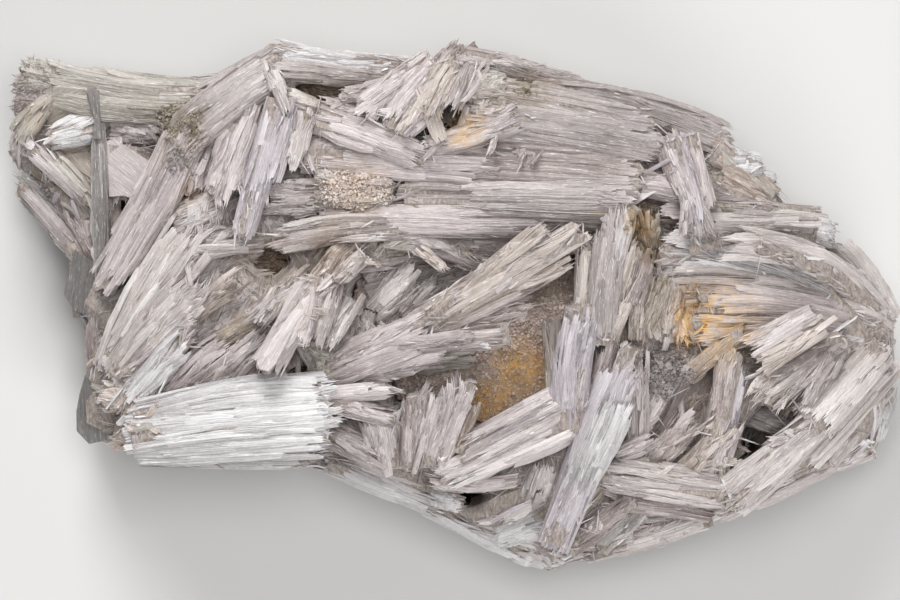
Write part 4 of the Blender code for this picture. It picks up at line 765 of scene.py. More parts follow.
def grain_material(name):
    """Sugary grains: each a little different, rough, dirty between them and iron stained."""
    words, dark, middle, light = GRAINS[name]
    made, tree, shader = new_material(words)
    place = add_place(tree)
    speck = add_noise(tree, place, 2300.0, 3.0, 0.65)
    cloud = add_noise(tree, place, 260.0, 2.0, 0.5)
    tone = add_maths(tree, "MULTIPLY_ADD", speck, 0.9, -0.25)
    # The crust's bed is a solid, which has none of the grains' own attributes.
    solid = name == "crust_bed"
    tone = add_maths(tree, "MULTIPLY_ADD", cloud, 0.5, tone, clamp=solid)
    if not solid:
        _, (_, shade, _) = add_attribute(tree, "growth")
        tone = add_maths(tree, "MULTIPLY_ADD", shade, 0.55, tone)
        tone = add_maths(tree, "ADD", tone, -0.08, clamp=True)
    colour = add_ramp(tree, tone, (0.10, dark), (0.50, middle), (0.95, light))
    if solid:
        patch = add_maths(tree, "MULTIPLY_ADD", cloud, 2.6, -0.65, clamp=True)
        for x, y, radius, ochre, _, _ in HOLLOW_STAINS:
            if ochre > 0.5:
                share = add_spot(tree, place, x, y, radius * 1.25, 1.3)
                share = add_maths(tree, "MULTIPLY", share, patch, clamp=True)
                colour = add_mix(tree, share, colour, linear(OCHRE))
    else:
        _, stain = add_attribute(tree, "stain")
        colour = add_stain(tree, colour, stain, place)
    finish_dull(tree, shader, colour, add_bump(tree, speck, 0.8, 0.0003), GRAIN_INDEX)
    return made


# ---------------------------------------------------------------------------------------------
# Forms of one strand, one sheet and one grain
# ---------------------------------------------------------------------------------------------
def form_arrays(form):
    """A bmesh's points and triangles, facing out."""
    bmesh.ops.triangulate(form, faces=form.faces[:])
    bmesh.ops.recalc_face_normals(form, faces=form.faces[:])
    form.verts.index_update()
    points = np.array([tuple(vert.co) for vert in form.verts])
    faces = np.array([[vert.index for vert in face.verts] for face in form.faces])
    form.free()
    return points, faces


def extrude_along(form, face, step):
    """Extrude a face along +Z. Returns the new face and its corners."""
    made = bmesh.ops.extrude_face_region(form, geom=[face])["geom"]
    corners = [item for item in made if isinstance(item, bmesh.types.BMVert)]
    face = next(item for item in made if isinstance(item, bmesh.types.BMFace))
    bmesh.ops.translate(form, vec=(0, 0, step), verts=corners)
    return face, corners


def strand_form(kind):
    """One strand along +Z, a unit long and two units across, extruded ring by ring."""
    sides, _, rings, pointed = STRAND_FORMS[kind]
    form = bmesh.new()
    bmesh.ops.create_circle(form, cap_ends=True, segments=sides, radius=1.0)
    turn = Matrix.Rotation(math.radians(SECTION_TURN[sides]), 3, "Z")
    bmesh.ops.rotate(form, cent=(0, 0, 0), matrix=turn, verts=form.verts)
    grow = rings[0][1] / max(abs(vert.co.x) for vert in form.verts)
    bmesh.ops.scale(form, vec=(grow, grow, 1.0), verts=form.verts)
    face = form.faces[:][0]
    for (height, size), (next_height, next_size) in zip(rings, rings[1:]):
        face, corners = extrude_along(form, face, next_height - height)
        grow = next_size / size
        bmesh.ops.scale(form, vec=(grow, grow, 1.0), verts=corners)
    if pointed:
        tip = bmesh.ops.poke(form, faces=[face])["verts"][0]
        tip.co = (0.2, 0.1, 1.0)
    else:
        slant = Matrix.Identity(4)
        slant[2][0], slant[2][1] = 0.045, -0.02
        bmesh.ops.transform(form, matrix=slant, verts=corners)
    return form_arrays(form)


def sheet_form(kind):
    """A thin ribbed sheet along +Z, a unit long and two units across, its ribs on +Y."""
    lines, stations = SHEET_FORMS[kind]
    form = bmesh.new()
    bmesh.ops.create_circle(form, cap_ends=True, segments=lines + 2, radius=1.0)
    for number, vert in enumerate(form.verts):
        across = 1.0 - 2.0 * number / (lines - 1)
        if number < lines:
            ridge = 0.22 * (number % 2) - 0.11
            vert.co = (across, 0.75 + ridge - 0.85 * abs(across) ** 3.0, 0.0)
        else:
            vert.co = (-1.0 if number == lines else 1.0, -1.0, 0.0)
    face = form.faces[:][0]
    for low, high in zip(stations, stations[1:]):
        face, _ = extrude_along(form, face, high - low)
    return form_arrays(form)


def grain_form(noise):
    """One angular grain, about a unit in radius."""
    form = bmesh.new()
    bmesh.ops.create_cube(form, size=1.5)
    for vert in form.verts:
        vert.co *= 1.0 + noise.uniform(-0.3, 0.25)
    return form_arrays(form)


def prepare():
    """Make the forms and materials once, when the first piece needs them."""
    if not FORMS:
        FORMS.update({kind: strand_form(kind) for kind in STRAND_FORMS})
        FORMS.update({kind: sheet_form(kind) for kind in SHEET_FORMS})
    if not MATERIALS:
        MATERIALS.update({finish: strand_material(finish) for finish in FINISHES})
        MATERIALS.update({name: grain_material(name) for name in GRAINS})


# ---------------------------------------------------------------------------------------------
# Strands
# ---------------------------------------------------------------------------------------------
def unit(vectors):
    """Vectors scaled to length one."""
    return vectors / np.maximum(np.linalg.norm(vectors, axis=-1, keepdims=True), 1e-9)


def vary(noise, spread, size):
    """Factors scattered about one."""
    return np.exp(noise.normal(0.0, spread, size))


def shelter_map():
    """Mean height of the specimen's upper side round each millimetre of the plan."""
    height = np.zeros((HALF_X * 2, HALF_Y * 2))
    for rows in SHEAVES.values():
        for sheaf in map(Sheaf, rows):
            steps = np.linspace(0.0, 1.0, int(sheaf.length * 1.6))
            share, across = np.meshgrid(steps, np.linspace(-0.95, 0.95, 15))
            places = sheaf.surface(share.ravel(), across.ravel(), 0.0)
            cell = np.round(places[:, :2]).astype(int) + (HALF_X, HALF_Y)
            np.maximum.at(height, (cell[:, 0], cell[:, 1]), places[:, 2])
    reach = range(-SHELTER_REACH, SHELTER_REACH + 1)
    shifted = [np.roll(height, (x, y), (0, 1)) for x in reach for y in reach]
    return np.mean(shifted, axis=0)


def shelter_at(places):
    """How deep each place lies among its neighbours, 0 to 1: how much painted shade it gets, with a grimy
    cast.
    """
    if "shelter" not in FORMS:
        FORMS["shelter"] = shelter_map()
    cell = np.round(places[..., :2]).astype(int) + (HALF_X, HALF_Y)
    cell = np.clip(cell, 0, (2 * HALF_X - 1, 2 * HALF_Y - 1))
    roof = FORMS["shelter"][cell[..., 0], cell[..., 1]]
    return np.clip((roof - places[..., 2] + 0.8) / 5.0, 0.0, 1.0)


def stain_at(places):
    """How much ochre, rust and olive lies at each place, in millimetres."""
    found = np.zeros((len(places), 3))
    for spot in STAINS + HOLLOW_STAINS:
        x, y, radius, *shares = spot
        away = np.hypot(places[:, 0] - x, places[:, 1] - y) / radius
        share = np.clip(1.15 - away**2, 0.0, 1.0)
        if spot in HOLLOW_STAINS:
            share *= np.clip(HOLLOW_TOP - places[:, 2], 0.0, 1.0)
        found += share[:, None] * np.array(shares)
    return np.clip(found, 0.0, 1.0)


Batch = namedtuple("Batch", "form root tip up width thick finish shade deep bend roll fray")


class Strands:
    """Strands gathered for one piece: rows of roots, tips, bends and the like, by form."""

    def __init__(self, noise):
        self.noise = noise
        self.batches = []

    def add(self, form, root, tip, up, width, thick, finish, shade, deep, bend=None, roll=0.0, fray=0.0):
        """Add strands. Lengths are in millimetres; roll is in degrees either way."""
        count = len(root)
        width, thick, shade, deep, fray = (
            np.broadcast_to(value, count) for value in (width, thick, shade, deep, fray)
        )
        finish = np.full(count, finish) if isinstance(finish, str) else finish
        bend = np.zeros((count, 3)) if bend is None else bend
        roll = np.radians(self.noise.normal(0.0, 1.0, count) * roll)
        self.batches.append(Batch(form, root, tip, up, width, thick, finish, shade, deep, bend, roll, fray))

    def place(self, batch):
        """Points, triangles, attributes and finishes of a batch's strands."""
        points, faces = FORMS[batch.form]
        reach = batch.tip - batch.root
        length = np.linalg.norm(reach, axis=1)
        along = unit(reach)
        side = unit(np.cross(batch.up, along))
        up = np.cross(along, side)
        turned = np.cos(batch.roll)[:, None] * side + np.sin(batch.roll)[:, None] * up
        up = np.cross(along, turned)
        count, size = len(reach), len(points)
        across, high, far = (np.tile(points[:, axis], (count, 1)) for axis in range(3))
        rib = np.zeros((count, size))
        if batch.form in SHEET_FORMS:
            across, high, far, rib = self.serrate(batch.form, batch.fray / length)
        width = batch.width[:, None] * 0.5 * across
        thick = batch.thick[:, None] * 0.5 * high
        curve = (4.0 * far * (1.0 - far))[..., None]
        placed = (
            batch.root[:, None]
            + reach[:, None] * far[..., None]
            + batch.bend[:, None] * curve
            + turned[:, None] * width[..., None]
            + up[:, None] * thick[..., None]
        )
        odd = np.tile(self.noise.uniform(0.0, STREAK_SPAN, count)[:, None], size)
        # Painted shade: each strand's own share plus how low the place lies among its neighbours.
        deep = np.maximum(batch.deep[:, None] + shelter_at(placed), 0.0)
        grain = np.stack([length[:, None] * far, width, odd], axis=-1)
        growth = np.stack([far, batch.shade[:, None] + rib, deep], axis=-1)
        numbered = faces[None] + (np.arange(count) * size)[:, None, None]
        rows = [part.reshape(-1, 3) for part in (placed, numbered, grain, growth)]
        return (*rows, np.repeat(batch.finish, len(faces)))

    def serrate(self, kind, fray):
        """Vary the ribs of each sheet, narrow its ends, cut its tip into uneven points, and paint higher ribs
        lighter and lower ones darker.
        """
        points = FORMS[kind][0]
        lines, stations = SHEET_FORMS[kind]
        count = len(fray)
        line = np.round((points[:, 0] + 1.0) * 0.5 * (lines - 1)).astype(int)
        station = np.abs(points[:, 2:] - np.array([stations])).argmin(axis=1)
        at_tip = station == len(stations) - 1
        under = points[:, 1] < -0.9
        shift = self.noise.normal(0.0, 0.30 / lines, (count, lines))
        rough = self.noise.normal(0.0, 0.15, (count, lines))[:, line]
        rough = rough + self.noise.normal(0.0, 0.12, (count, len(stations), lines))[:, station, line]
        rough *= ~under
        cut = self.noise.random((count, lines)) ** 1.3
        cut[:, ::2] = 0.55 + 0.45 * cut[:, ::2]
        cut = np.where(under, 1.0, cut[:, line])
        far = points[:, 2] - at_tip * cut * np.minimum(fray, 0.32)[:, None]
        far = far - (station == 0) * (1.0 - cut) * 0.5 * np.minimum(fray, 0.15)[:, None]
        narrow = 0.72 + 0.28 * np.sin(math.pi * np.clip(points[:, 2] * 0.8 + 0.15, 0.0, 1.0))
        across = (points[:, 0] + shift[:, line]) * narrow
        # The last value paints the higher ribs lighter and the lower ones darker: painted light and shade.
        return across, (points[:, 1] + rough) * (1.0 - 0.45 * at_tip), far, rough * 0.12


def join_mesh(name, made):
    """Join batches of points and triangles in one mesh, with their attributes and materials."""
    points, faces, grain, growth, finish = zip(*made)
    starts = np.cumsum([0] + [len(batch) for batch in points[:-1]])
    faces = np.concatenate([batch + start for batch, start in zip(faces, starts)])
    points = np.concatenate(points)
    points[:, 2] = np.maximum(points[:, 2], 0.0)
    mesh = bpy.data.meshes.new(name)
    mesh.vertices.add(len(points))
    mesh.vertices.foreach_set("co", (points * MM).astype(np.float32).ravel())
    mesh.loops.add(faces.size)
    mesh.loops.foreach_set("vertex_index", faces.astype(np.int32).ravel())
    mesh.polygons.add(len(faces))
    mesh.polygons.foreach_set("loop_start", np.arange(0, faces.size, 3, dtype=np.int32))
    used, slots = np.unique(np.concatenate(finish), return_inverse=True)
    for one in used.tolist():
        mesh.materials.append(MATERIALS[one])
    mesh.polygons.foreach_set("material_index", slots.astype(np.int32))
    layers = {"grain": np.concatenate(grain), "growth": np.concatenate(growth), "stain": stain_at(points)}
    for label, values in layers.items():
        layer = mesh.attributes.new(label, "FLOAT_VECTOR", "POINT")
        layer.data.foreach_set("vector", values.astype(np.float32).ravel())
    mesh.update(calc_edges=True)
    mesh.validate()
    mesh.shade_flat()
    piece = bpy.data.objects.new(name, mesh)
    bpy.context.scene.collection.objects.link(piece)
    return piece


def finish_piece(name, made):
    """Join a piece and fasten it to the specimen."""
    piece = join_mesh(name, made)
    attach(piece, BODY)


def finish_strands(name, strands):
    """Place all the strands gathered for a piece, and finish it."""
    finish_piece(name, [strands.place(batch) for batch in strands.batches])


# ---------------------------------------------------------------------------------------------
# Sheaves
# ---------------------------------------------------------------------------------------------
class Sheaf:
    """The path and crowned upper face of one sheaf."""

    def __init__(self, row):
        _, form, self.style, self.finish, root, tip, self.root_width, self.tip_width, self.depth, *bow = row
        self.bow = bow[0] if bow else 0.0
        self.mean_width = 0.5 * (self.root_width + self.tip_width)
        self.root, self.tip = np.array(root, float), np.array(tip, float)
        self.arch = ARCH.get(form, 0.0)
        self.droop = DROOP.get(form, 0.42)
        self.lean = LEAN.get(form, 1.0)
        self.length = float(np.linalg.norm(self.tip - self.root))
        self.along = (self.tip - self.root) / self.length
        self.side = unit(np.cross((0.0, 0.0, 1.0), self.along))
        self.rise = np.cross(self.along, self.side)

    def half(self, share):
        """Half the width at a share of the length."""
        return 0.5 * (self.root_width + (self.tip_width - self.root_width) * np.clip(share, 0, 1.1))

    def surface(self, share, across, lift):
        """A place on the sheaf: share of its length, across as shares of half its width."""
        half = self.half(share)
        inner = np.clip(across, -1.0, 1.0)
        over = np.abs(across) - np.abs(inner)
        crown = half * (0.04 - self.droop * np.abs(inner) ** 2.4) - over * self.depth * 0.9
        bend = 4.0 * share * (1.0 - share)
        return (
            self.root
            + np.outer(share * self.length, self.along)
            + np.outer(half * inner + self.bow * bend, self.side)
            + np.outer(crown + self.arch * bend + lift, self.rise)
        )

    def facing(self, across):
        """Which way the face looks out there."""
        inner = np.clip(across, -1.0, 1.0)
        over = np.abs(across) - np.abs(inner)
        lean = self.lean * (np.arctan(np.abs(inner) ** 1.4) + np.minimum(over * 6.0, 0.6))
        lean = lean * np.sign(inner)
        return np.outer(np.cos(lean), self.rise) + np.outer(np.sin(lean), self.side)


def on_sheaf(sheaf, places):
    """Which places lie on the upper face of a sheaf, where its own strands cover them."""
    reach = places - sheaf.root
    share = reach @ sheaf.along / sheaf.length
    bend = 4.0 * share * (1.0 - share)
    across = (reach @ sheaf.side - sheaf.bow * bend) / sheaf.half(share)
    above = reach @ sheaf.rise - sheaf.arch * bend - 0.04 * sheaf.half(share)
    above += sheaf.droop * sheaf.half(share) * np.abs(across) ** 2.4
    return (share > 0.08) & (share < NEAR_TIP) & (np.abs(across) < 0.72) & (np.abs(above) < 1.3)


def lay_sheaf(strands, sheaf, look):
    """Cover a sheaf: bundles laid like shingles along it, each a ribbed sheet under fine strands."""
    noise, style = strands.noise, STYLES[sheaf.style]
    wide = min(style.wide, 0.6 * sheaf.mean_width)
    share = 0.5 * (style.short + style.long)
    count = max(4, round(look.strand_cover * style.layers * OVER_EDGE * sheaf.mean_width / (wide * share)))
    part = noise.uniform(style.short, style.long, count)
    start = noise.uniform(0.0, 1.0, count) * (1.0 - part)
    low = noise.random(count) < LOW_BUNDLES
    held = np.abs(noise.normal(0.0, 0.9 * style.reach, count)) / sheaf.length
    bundles = {
        "part": part,
        "start": np.where(noise.random(count) < END_BUNDLES, np.maximum(1.0 - part - held, 0.0), start),
        "middle": (noise.permutation(count) + noise.random(count)) / count * 2.0 * OVER_EDGE - OVER_EDGE,
        "height": noise.normal(0.0, style.spread, count) - 0.55 * low * style.spread,
        "swing": noise.normal(0.0, math.tan(math.radians(style.turn)), count) * part * sheaf.length,
        # Bundles that lie lower get a darker tone and more painted shade.
        "shade": 0.5 + noise.normal(0.0, 0.10) + noise.normal(0.0, 0.13, count) - 0.10 * low,
        "reach": np.abs(noise.normal(0.0, style.reach, count)),
        "rise": style.curl * noise.random(count) ** 2 * np.minimum(1.0, part * 2.0),
        "deep": 0.2 * low,
    }
    outer = np.clip(np.abs(bundles["middle"]) - 0.5, 0.0, 0.7) * np.sign(bundles["middle"])
    splay = outer * part * sheaf.length * noise.uniform(0.0, 0.06 * min(style.turn + 2.0, 7.0), count)
    bundles["splay"] = np.clip(splay, -1.3, 1.3) * noise.uniform(0.3, 1.0, count)
    lay_sheets(strands, sheaf, bundles, wide)
    lay_feather(strands, sheaf, bundles, wide, look)
    lay_core(strands, sheaf)
    lay_splinters(strands, sheaf, look)
    if sheaf.style == "fray":
        lay_frayed_end(strands, sheaf)


def lay_sheets(strands, sheaf, bundles, wide):
    """Lay one ribbed sheet for each bundle, its root sunk in and its tip serrated."""
    noise, style = strands.noise, STYLES[sheaf.style]
    begin, part, across, lift, splay = (
        bundles[name] for name in ("start", "part", "middle", "height", "splay")
    )
    count = len(part)
    at_root = begin < 0.10
    begin = begin - np.abs(noise.normal(0.0, 1.5, count)) / sheaf.length * at_root
    end = begin + part
    near_tip = end > NEAR_TIP
    end = end + near_tip * bundles["reach"] * noise.uniform(0.4, 1.0, count) / sheaf.length
    end = np.maximum(end, begin + 2.0 / sheaf.length)
    across_end = across + bundles["swing"] / sheaf.half(end)
    root = sheaf.surface(begin, across, lift - 0.28 - 0.4 * at_root)
    tip = sheaf.surface(end, across_end, lift + np.where(near_tip, bundles["rise"] + 0.06, -0.04))
    middle = sheaf.surface(0.5 * (begin + end), 0.5 * (across + across_end), lift)
    middle += np.outer(0.3 * splay, sheaf.side)
    tip += np.outer(splay, sheaf.side) + np.outer(0.2 * np.abs(splay), sheaf.rise)
    wobble = noise.normal(0.0, 0.2, count) * (1.0 + part * sheaf.length * 0.05)
    bend = middle - 0.5 * (root + tip) + np.outer(wobble, sheaf.side)
    width = 1.4 * wide * vary(noise, 0.22, count)
    thick = 0.42 * vary(noise, 0.15, count)
    shade = np.clip(bundles["shade"], 0.0, 1.0)
    # Painted shade: more for bundles that lie lower.
    deep = np.clip(bundles["deep"] - 0.5 * lift, 0.0, 1.0) * 0.5
    fray = style.fray * noise.uniform(0.4, 1.2, count)
    kind = "chip" if sheaf.style in ("mat", "splinter") else "sheet"
    up, roll = sheaf.facing(across), style.roll * 0.8
    strands.add(kind, root, tip, up, width, thick, sheaf.finish, shade, deep, bend=bend, roll=roll, fray=fray)


def lay_feather(strands, sheaf, bundles, wide, look):
    """Fine strands over the outer half of each bundle, reaching past its serrated end."""
    noise, style = strands.noise, STYLES[sheaf.style]
    fine = style.fine * look.strand_width
    number = len(bundles["part"])
    each = max(1, round(style.cover * wide / fine))
    which = np.repeat(np.arange(number), each)
    count = len(which)
    one = {name: values[which] for name, values in bundles.items()}
    splay = one["splay"]
    offset = (np.tile(np.arange(each), number) + noise.random(count)) / each - 0.5
    begin = one["start"] + one["part"] * noise.uniform(0.25, 0.85, count)
    past = style.fray * noise.uniform(-0.9, 0.45, count) + 0.5 * one["reach"] * noise.random(count)
    end = one["start"] + one["part"] + past / sheaf.length
    end = np.maximum(end, begin + 1.2 / sheaf.length)
    fan = noise.normal(0.0, 0.10 * style.fray, count)
    across = one["middle"] + offset * wide / sheaf.half(begin)
    across_end = one["middle"] + (offset * wide * 0.8 + one["swing"] + fan) / sheaf.half(end)
    lift = one["height"] + 0.18 - 0.5 * offset**2
    root = sheaf.surface(begin, across, lift - 0.12)
    up_by = one["rise"] + 0.06 * style.fray * noise.random(count)
    tip = sheaf.surface(end, across_end, lift + up_by)
    middle = sheaf.surface(0.5 * (begin + end), 0.5 * (across + across_end), lift + 0.02)
    tip += np.outer(splay, sheaf.side) + np.outer(0.2 * np.abs(splay), sheaf.rise)
    root += np.outer(0.4 * splay, sheaf.side)
    middle += np.outer(0.7 * splay, sheaf.side)
    bend = middle - 0.5 * (root + tip)
    width = fine * vary(noise, 0.25, count)
    thick = width * STRAND_FORMS[style.form][1] * noise.uniform(0.8, 1.25, count)
    shade = np.clip(one["shade"] + 0.06 + noise.normal(0.0, 0.08, count), 0.0, 1.0)
    # Painted shade: more for strands that lie lower.
    deep = np.clip(one["deep"] - 0.5 * lift, 0.0, 1.0) * 0.5
    up = sheaf.facing(across)
    strands.add(style.form, root, tip, up, width, thick, sheaf.finish, shade, deep, bend=bend, roll=10.0)


def lay_core(strands, sheaf):
    """Wide sheets just under the bundles, so that nothing dark shows through the sheaf."""
    noise = strands.noise
    count = max(3, math.ceil(sheaf.mean_width / CORE_WIDTH))
    middle = (np.arange(count) + 0.5) / count * 2.2 - 1.1
    begin = noise.uniform(-0.04, 0.02, count)
    end = noise.uniform(0.80, 0.94, count)
    thick = min(sheaf.depth * 0.4, 2.0)
    lift = -0.5 * thick - 0.10 + noise.normal(0.0, 0.04, count)
    root = sheaf.surface(begin, middle, lift - 0.2)
    tip = sheaf.surface(end, middle, lift - 0.1)
    between = sheaf.surface(0.5 * (begin + end), middle, lift)
    width = 1.9 * sheaf.mean_width / count
    shade = noise.uniform(0.35, 0.55, count)
    bend = between - 0.5 * (root + tip)
    up = sheaf.facing(middle)
    strands.add("sheet", root, tip, up, width, thick, sheaf.finish, shade, 0.1, bend=bend, fray=1.6)


def lay_splinters(strands, sheaf, look):
    """Short loose splinters lying on the sheaf, a little out of line with it."""
    noise = strands.noise
    loose = 1.0 if sheaf.style in ("silk", "broken") else 2.0
    count = int(look.loose_splinters * loose * sheaf.length * sheaf.mean_width / SPLINTER_AREA)
    if not count:
        return
    begin = noise.uniform(0.0, 0.92, count)
    across = noise.uniform(-1.0, 1.0, count)
    long = noise.uniform(1.0, 3.4, count)
    root = sheaf.surface(begin, across, noise.uniform(-0.1, 0.25, count))
    swing = np.radians(noise.normal(0.0, 7.0 * loose, count))
    rise = np.radians(np.abs(noise.normal(0.0, 3.0 * loose, count)))
    lean = np.cos(swing)[:, None] * sheaf.along + np.sin(swing)[:, None] * sheaf.side
    lean = unit(lean + np.tan(rise)[:, None] * sheaf.rise)
    width = noise.uniform(0.30, 0.75, count) * look.strand_width
    shade = noise.uniform(0.45, 1.0, count)
    up = sheaf.facing(across)
    tip = root + lean * long[:, None]
    thick = width * FLATNESS
    strands.add("splinter", root, tip, up, width, thick, sheaf.finish, shade, 0.0, roll=25.0)


def lay_frayed_end(strands, sheaf):
    """A frayed knob: short fine fibres standing out of it on every side."""
    noise = strands.noise
    count = int(sheaf.mean_width * sheaf.length * FRAYED_FIBRES)
    begin = noise.uniform(0.15, 1.02, count)
    across = noise.uniform(-1.25, 1.25, count)
    root = sheaf.surface(begin, across, noise.uniform(-0.3, 0.1, count))
    outward = sheaf.facing(across) * noise.uniform(0.3, 1.0, count)[:, None]
    outward += sheaf.along * noise.uniform(0.1, 1.0, count)[:, None]
    outward = unit(outward + noise.normal(0.0, 0.4, (count, 3)))
    tip = root + outward * noise.uniform(0.7, 2.0, count)[:, None]
    width = noise.uniform(0.2, 0.42, count)
    up = np.tile(sheaf.side, (count, 1))
    shade = noise.uniform(0.4, 0.95, count)
    strands.add("splinter", root, tip, up, width, width * 0.8, sheaf.finish, shade, 0.1, roll=40.0)


# ---------------------------------------------------------------------------------------------
# Fibres, tufts, grains and cleavage faces on the solids' own faces
# ---------------------------------------------------------------------------------------------
class Faces:
    """The triangles of a CAD node, for laying fibres and grains on them. Millimetres."""

    def __init__(self, node):
        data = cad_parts[node].data
        points = np.empty(len(data.vertices) * 3)
        data.vertices.foreach_get("co", points)
        self.points = points.reshape(-1, 3) / MM
        data.calc_loop_triangles()
        corners = np.empty(len(data.loop_triangles) * 3, np.int32)
        data.loop_triangles.foreach_get("vertices", corners)
        self.corners = corners.reshape(-1, 3)
        first, second, third = (self.points[self.corners[:, k]] for k in range(3))
        cross = np.cross(second - first, third - first)
        self.area = 0.5 * np.linalg.norm(cross, axis=1)
        self.facing = unit(cross)
        self.middle = (first + second + third) / 3.0
        self.tree = BVHTree.FromPolygons(self.points.tolist(), self.corners.tolist())

    def scatter(self, noise, count, allowed):
        """Places spread evenly over the allowed triangles, with the way each looks out."""
        weight = self.area * allowed
        picked = noise.choice(len(weight), count, p=weight / weight.sum())
        one, two = noise.random(count), noise.random(count)
        fold = one + two > 1.0
        one, two = np.where(fold, 1.0 - one, one), np.where(fold, 1.0 - two, two)
        first, second, third = (self.points[self.corners[picked, k]] for k in range(3))
        place = first + (second - first) * one[:, None] + (third - first) * two[:, None]
        return place, self.facing[picked]

    def settle(self, places, lift):
        """Move places onto the surface and a little off it."""
        found = np.array(places)
        for number, place in enumerate(places):
            hit, normal, _, _ = self.tree.find_nearest(Vector(place))
            found[number] = hit + normal * float(lift[number])
        return found

    def under(self, x, y):
        """Where a line straight down meets the node first, or nothing."""
        return self.tree.ray_cast(Vector((x, y, ABOVE_ALL)), DOWN)[0]


def inside(places, corners):
    """Which places lie inside an outline in the plan."""
    found = np.zeros(len(places), bool)
    x, y = places[:, 0], places[:, 1]
    for (x0, y0), (x1, y1) in zip(corners, corners[1:] + corners[:1]):
        crossed = (y0 > y) != (y1 > y)
        rise = y1 - y0 if y1 != y0 else 1e-9
        found ^= crossed & (x < x0 + (x1 - x0) * (y - y0) / rise)
    return found


def clear_of_gaps(places):
    """Which places lie outside the deep gaps and the cleavage faces."""
    clear = np.ones(len(places), bool)
    for x, y, radius in DEEP_GAPS:
        clear &= np.hypot(places[:, 0] - x, places[:, 1] - y) > radius
    for plate in PLATES:
        clear &= ~inside(places, plate[-1])
    return clear


def lay_fibres(strands, faces, places, facing, heading, sizes, finishes, deep):
    """Lay fibres on a surface, along a heading, with both ends settled onto it."""
    noise = strands.noise
    clear = clear_of_gaps(places)
    places, facing, heading, deep = places[clear], facing[clear], heading[clear], deep[clear]
    heading = unit(heading - facing * (heading * facing).sum(1, keepdims=True))
    number = int(sizes.chips * len(places))
    for form, part in (("chip", slice(0, number)), ("splinter", slice(number, None))):
        place, out, line, low = places[part], facing[part], heading[part], deep[part]
        count = len(place)
        long = noise.uniform(sizes.shortest, sizes.longest, count)[:, None] * 0.5
        root = faces.settle(place - line * long, noise.uniform(-0.35, 0.0, count))
        tip = faces.settle(place + line * long, noise.uniform(0.0, 0.7, count))
        middle = faces.settle(0.5 * (root + tip), noise.uniform(0.1, 0.3, count))
        tip += out * (noise.random(count) ** 3 * sizes.rise)[:, None]
        bend = middle - 0.5 * (root + tip)
        bend *= np.minimum(1.0, 1.2 / np.maximum(np.linalg.norm(bend, axis=1), 1e-6))[:, None]
        width = noise.uniform(sizes.narrowest, sizes.widest, count)
        thick = width * FLATNESS
        if form == "chip":
            width = width * CHIP_WIDTH
            thick = noise.uniform(0.35, 0.6, count)
        shade = np.clip(noise.normal(0.5, 0.16, count), 0.0, 1.0)
        finish = noise.choice(finishes, count)
        strands.add(form, root, tip, out, width, thick, finish, shade, low, bend=bend, roll=10.0, fray=2.2)


def lay_tufts(strands, faces, row):
    """One patch of tufts: each a small ribbed chip with a few splinters fanned over it."""
    x, y, half_x, half_y, turn, spread, long, count, finish = row
    noise = strands.noise
    angle = noise.uniform(0.0, 2.0 * math.pi, count)
    away = np.sqrt(noise.random(count))
    plan = np.column_stack([x + half_x * away * np.cos(angle), y + half_y * away * np.sin(angle)])
    hits = [faces.under(*place) for place in plan]
    roots = np.array([hit for hit in hits if hit])
    roots = roots[clear_of_gaps(roots)]
    count = len(roots)
    heading = np.radians(turn + noise.normal(0.0, spread, count))
    pitch = np.radians(noise.uniform(3.0, 20.0, count))
    tone = np.clip(noise.normal(0.55, 0.15, count), 0.0, 1.0)
    for form, each, fan, wide in (("chip", 1, 0.0, 1.15), ("splinter", 5, 8.0, 0.42)):
        one = np.repeat(np.arange(count), each)
        number = len(one)
        level = heading[one] + np.radians(noise.normal(0.0, fan, number))
        steep = pitch[one] + np.radians(noise.normal(0.0, 0.5 * fan, number))
        flat = np.cos(steep)
        line = np.column_stack([flat * np.cos(level), flat * np.sin(level), np.sin(steep)])
        width = wide * vary(noise, 0.25, number)
        root = roots[one] + noise.normal(0.0, 0.06 * fan, (number, 3)) * (1.0, 1.0, 0.3)
        root = root - line * 0.25 * long
        reach = long * noise.uniform(0.55, 1.15, number)
        tip = root + line * reach[:, None]
        up = np.tile((0.0, 0.0, 1.0), (number, 1)) + noise.normal(0.0, 0.15, (number, 3))
        thick = width * FLATNESS if form == "splinter" else 0.45
        shade = np.clip(tone[one] + noise.normal(0.0, 0.08, number), 0.0, 1.0)
        strands.add(form, root, tip, up, width, thick, finish, shade, 0.05, roll=12.0, fray=2.4)


def place_grains(noise, places, facing, size, finish):
    """Grains of three forms at places, each turned and sized on its own."""
    made = []
    for number in range(3):
        points, faces = grain_form(noise)
        place, out = places[number::3], facing[number::3]
        count, corners = len(place), len(points)
        first = unit(noise.normal(0.0, 1.0, (count, 3)))
        second = unit(np.cross(first, noise.normal(0.0, 1.0, (count, 3))))
        third = np.cross(first, second)
        big = 0.5 * size * vary(noise, 0.4, (count, 1, 1))
        turned = (
            points[None, :, 0:1] * first[:, None]
            + points[None, :, 1:2] * second[:, None]
            + points[None, :, 2:3] * third[:, None] * 0.8
        )
        raised = noise.random((count, 1)) ** 2 * size
        placed = ((place + out * raised)[:, None] + turned * big).reshape(-1, 3)
        numbered = (faces[None] + (np.arange(count) * corners)[:, None, None]).reshape(-1, 3)
        shade = np.repeat(noise.uniform(0.0, 1.0, count), corners)
        growth = np.outer(shade, (0.0, 1.0, 0.0))
        made.append((placed, numbered, np.zeros_like(growth), growth, np.full(count * len(faces), finish)))
    return made


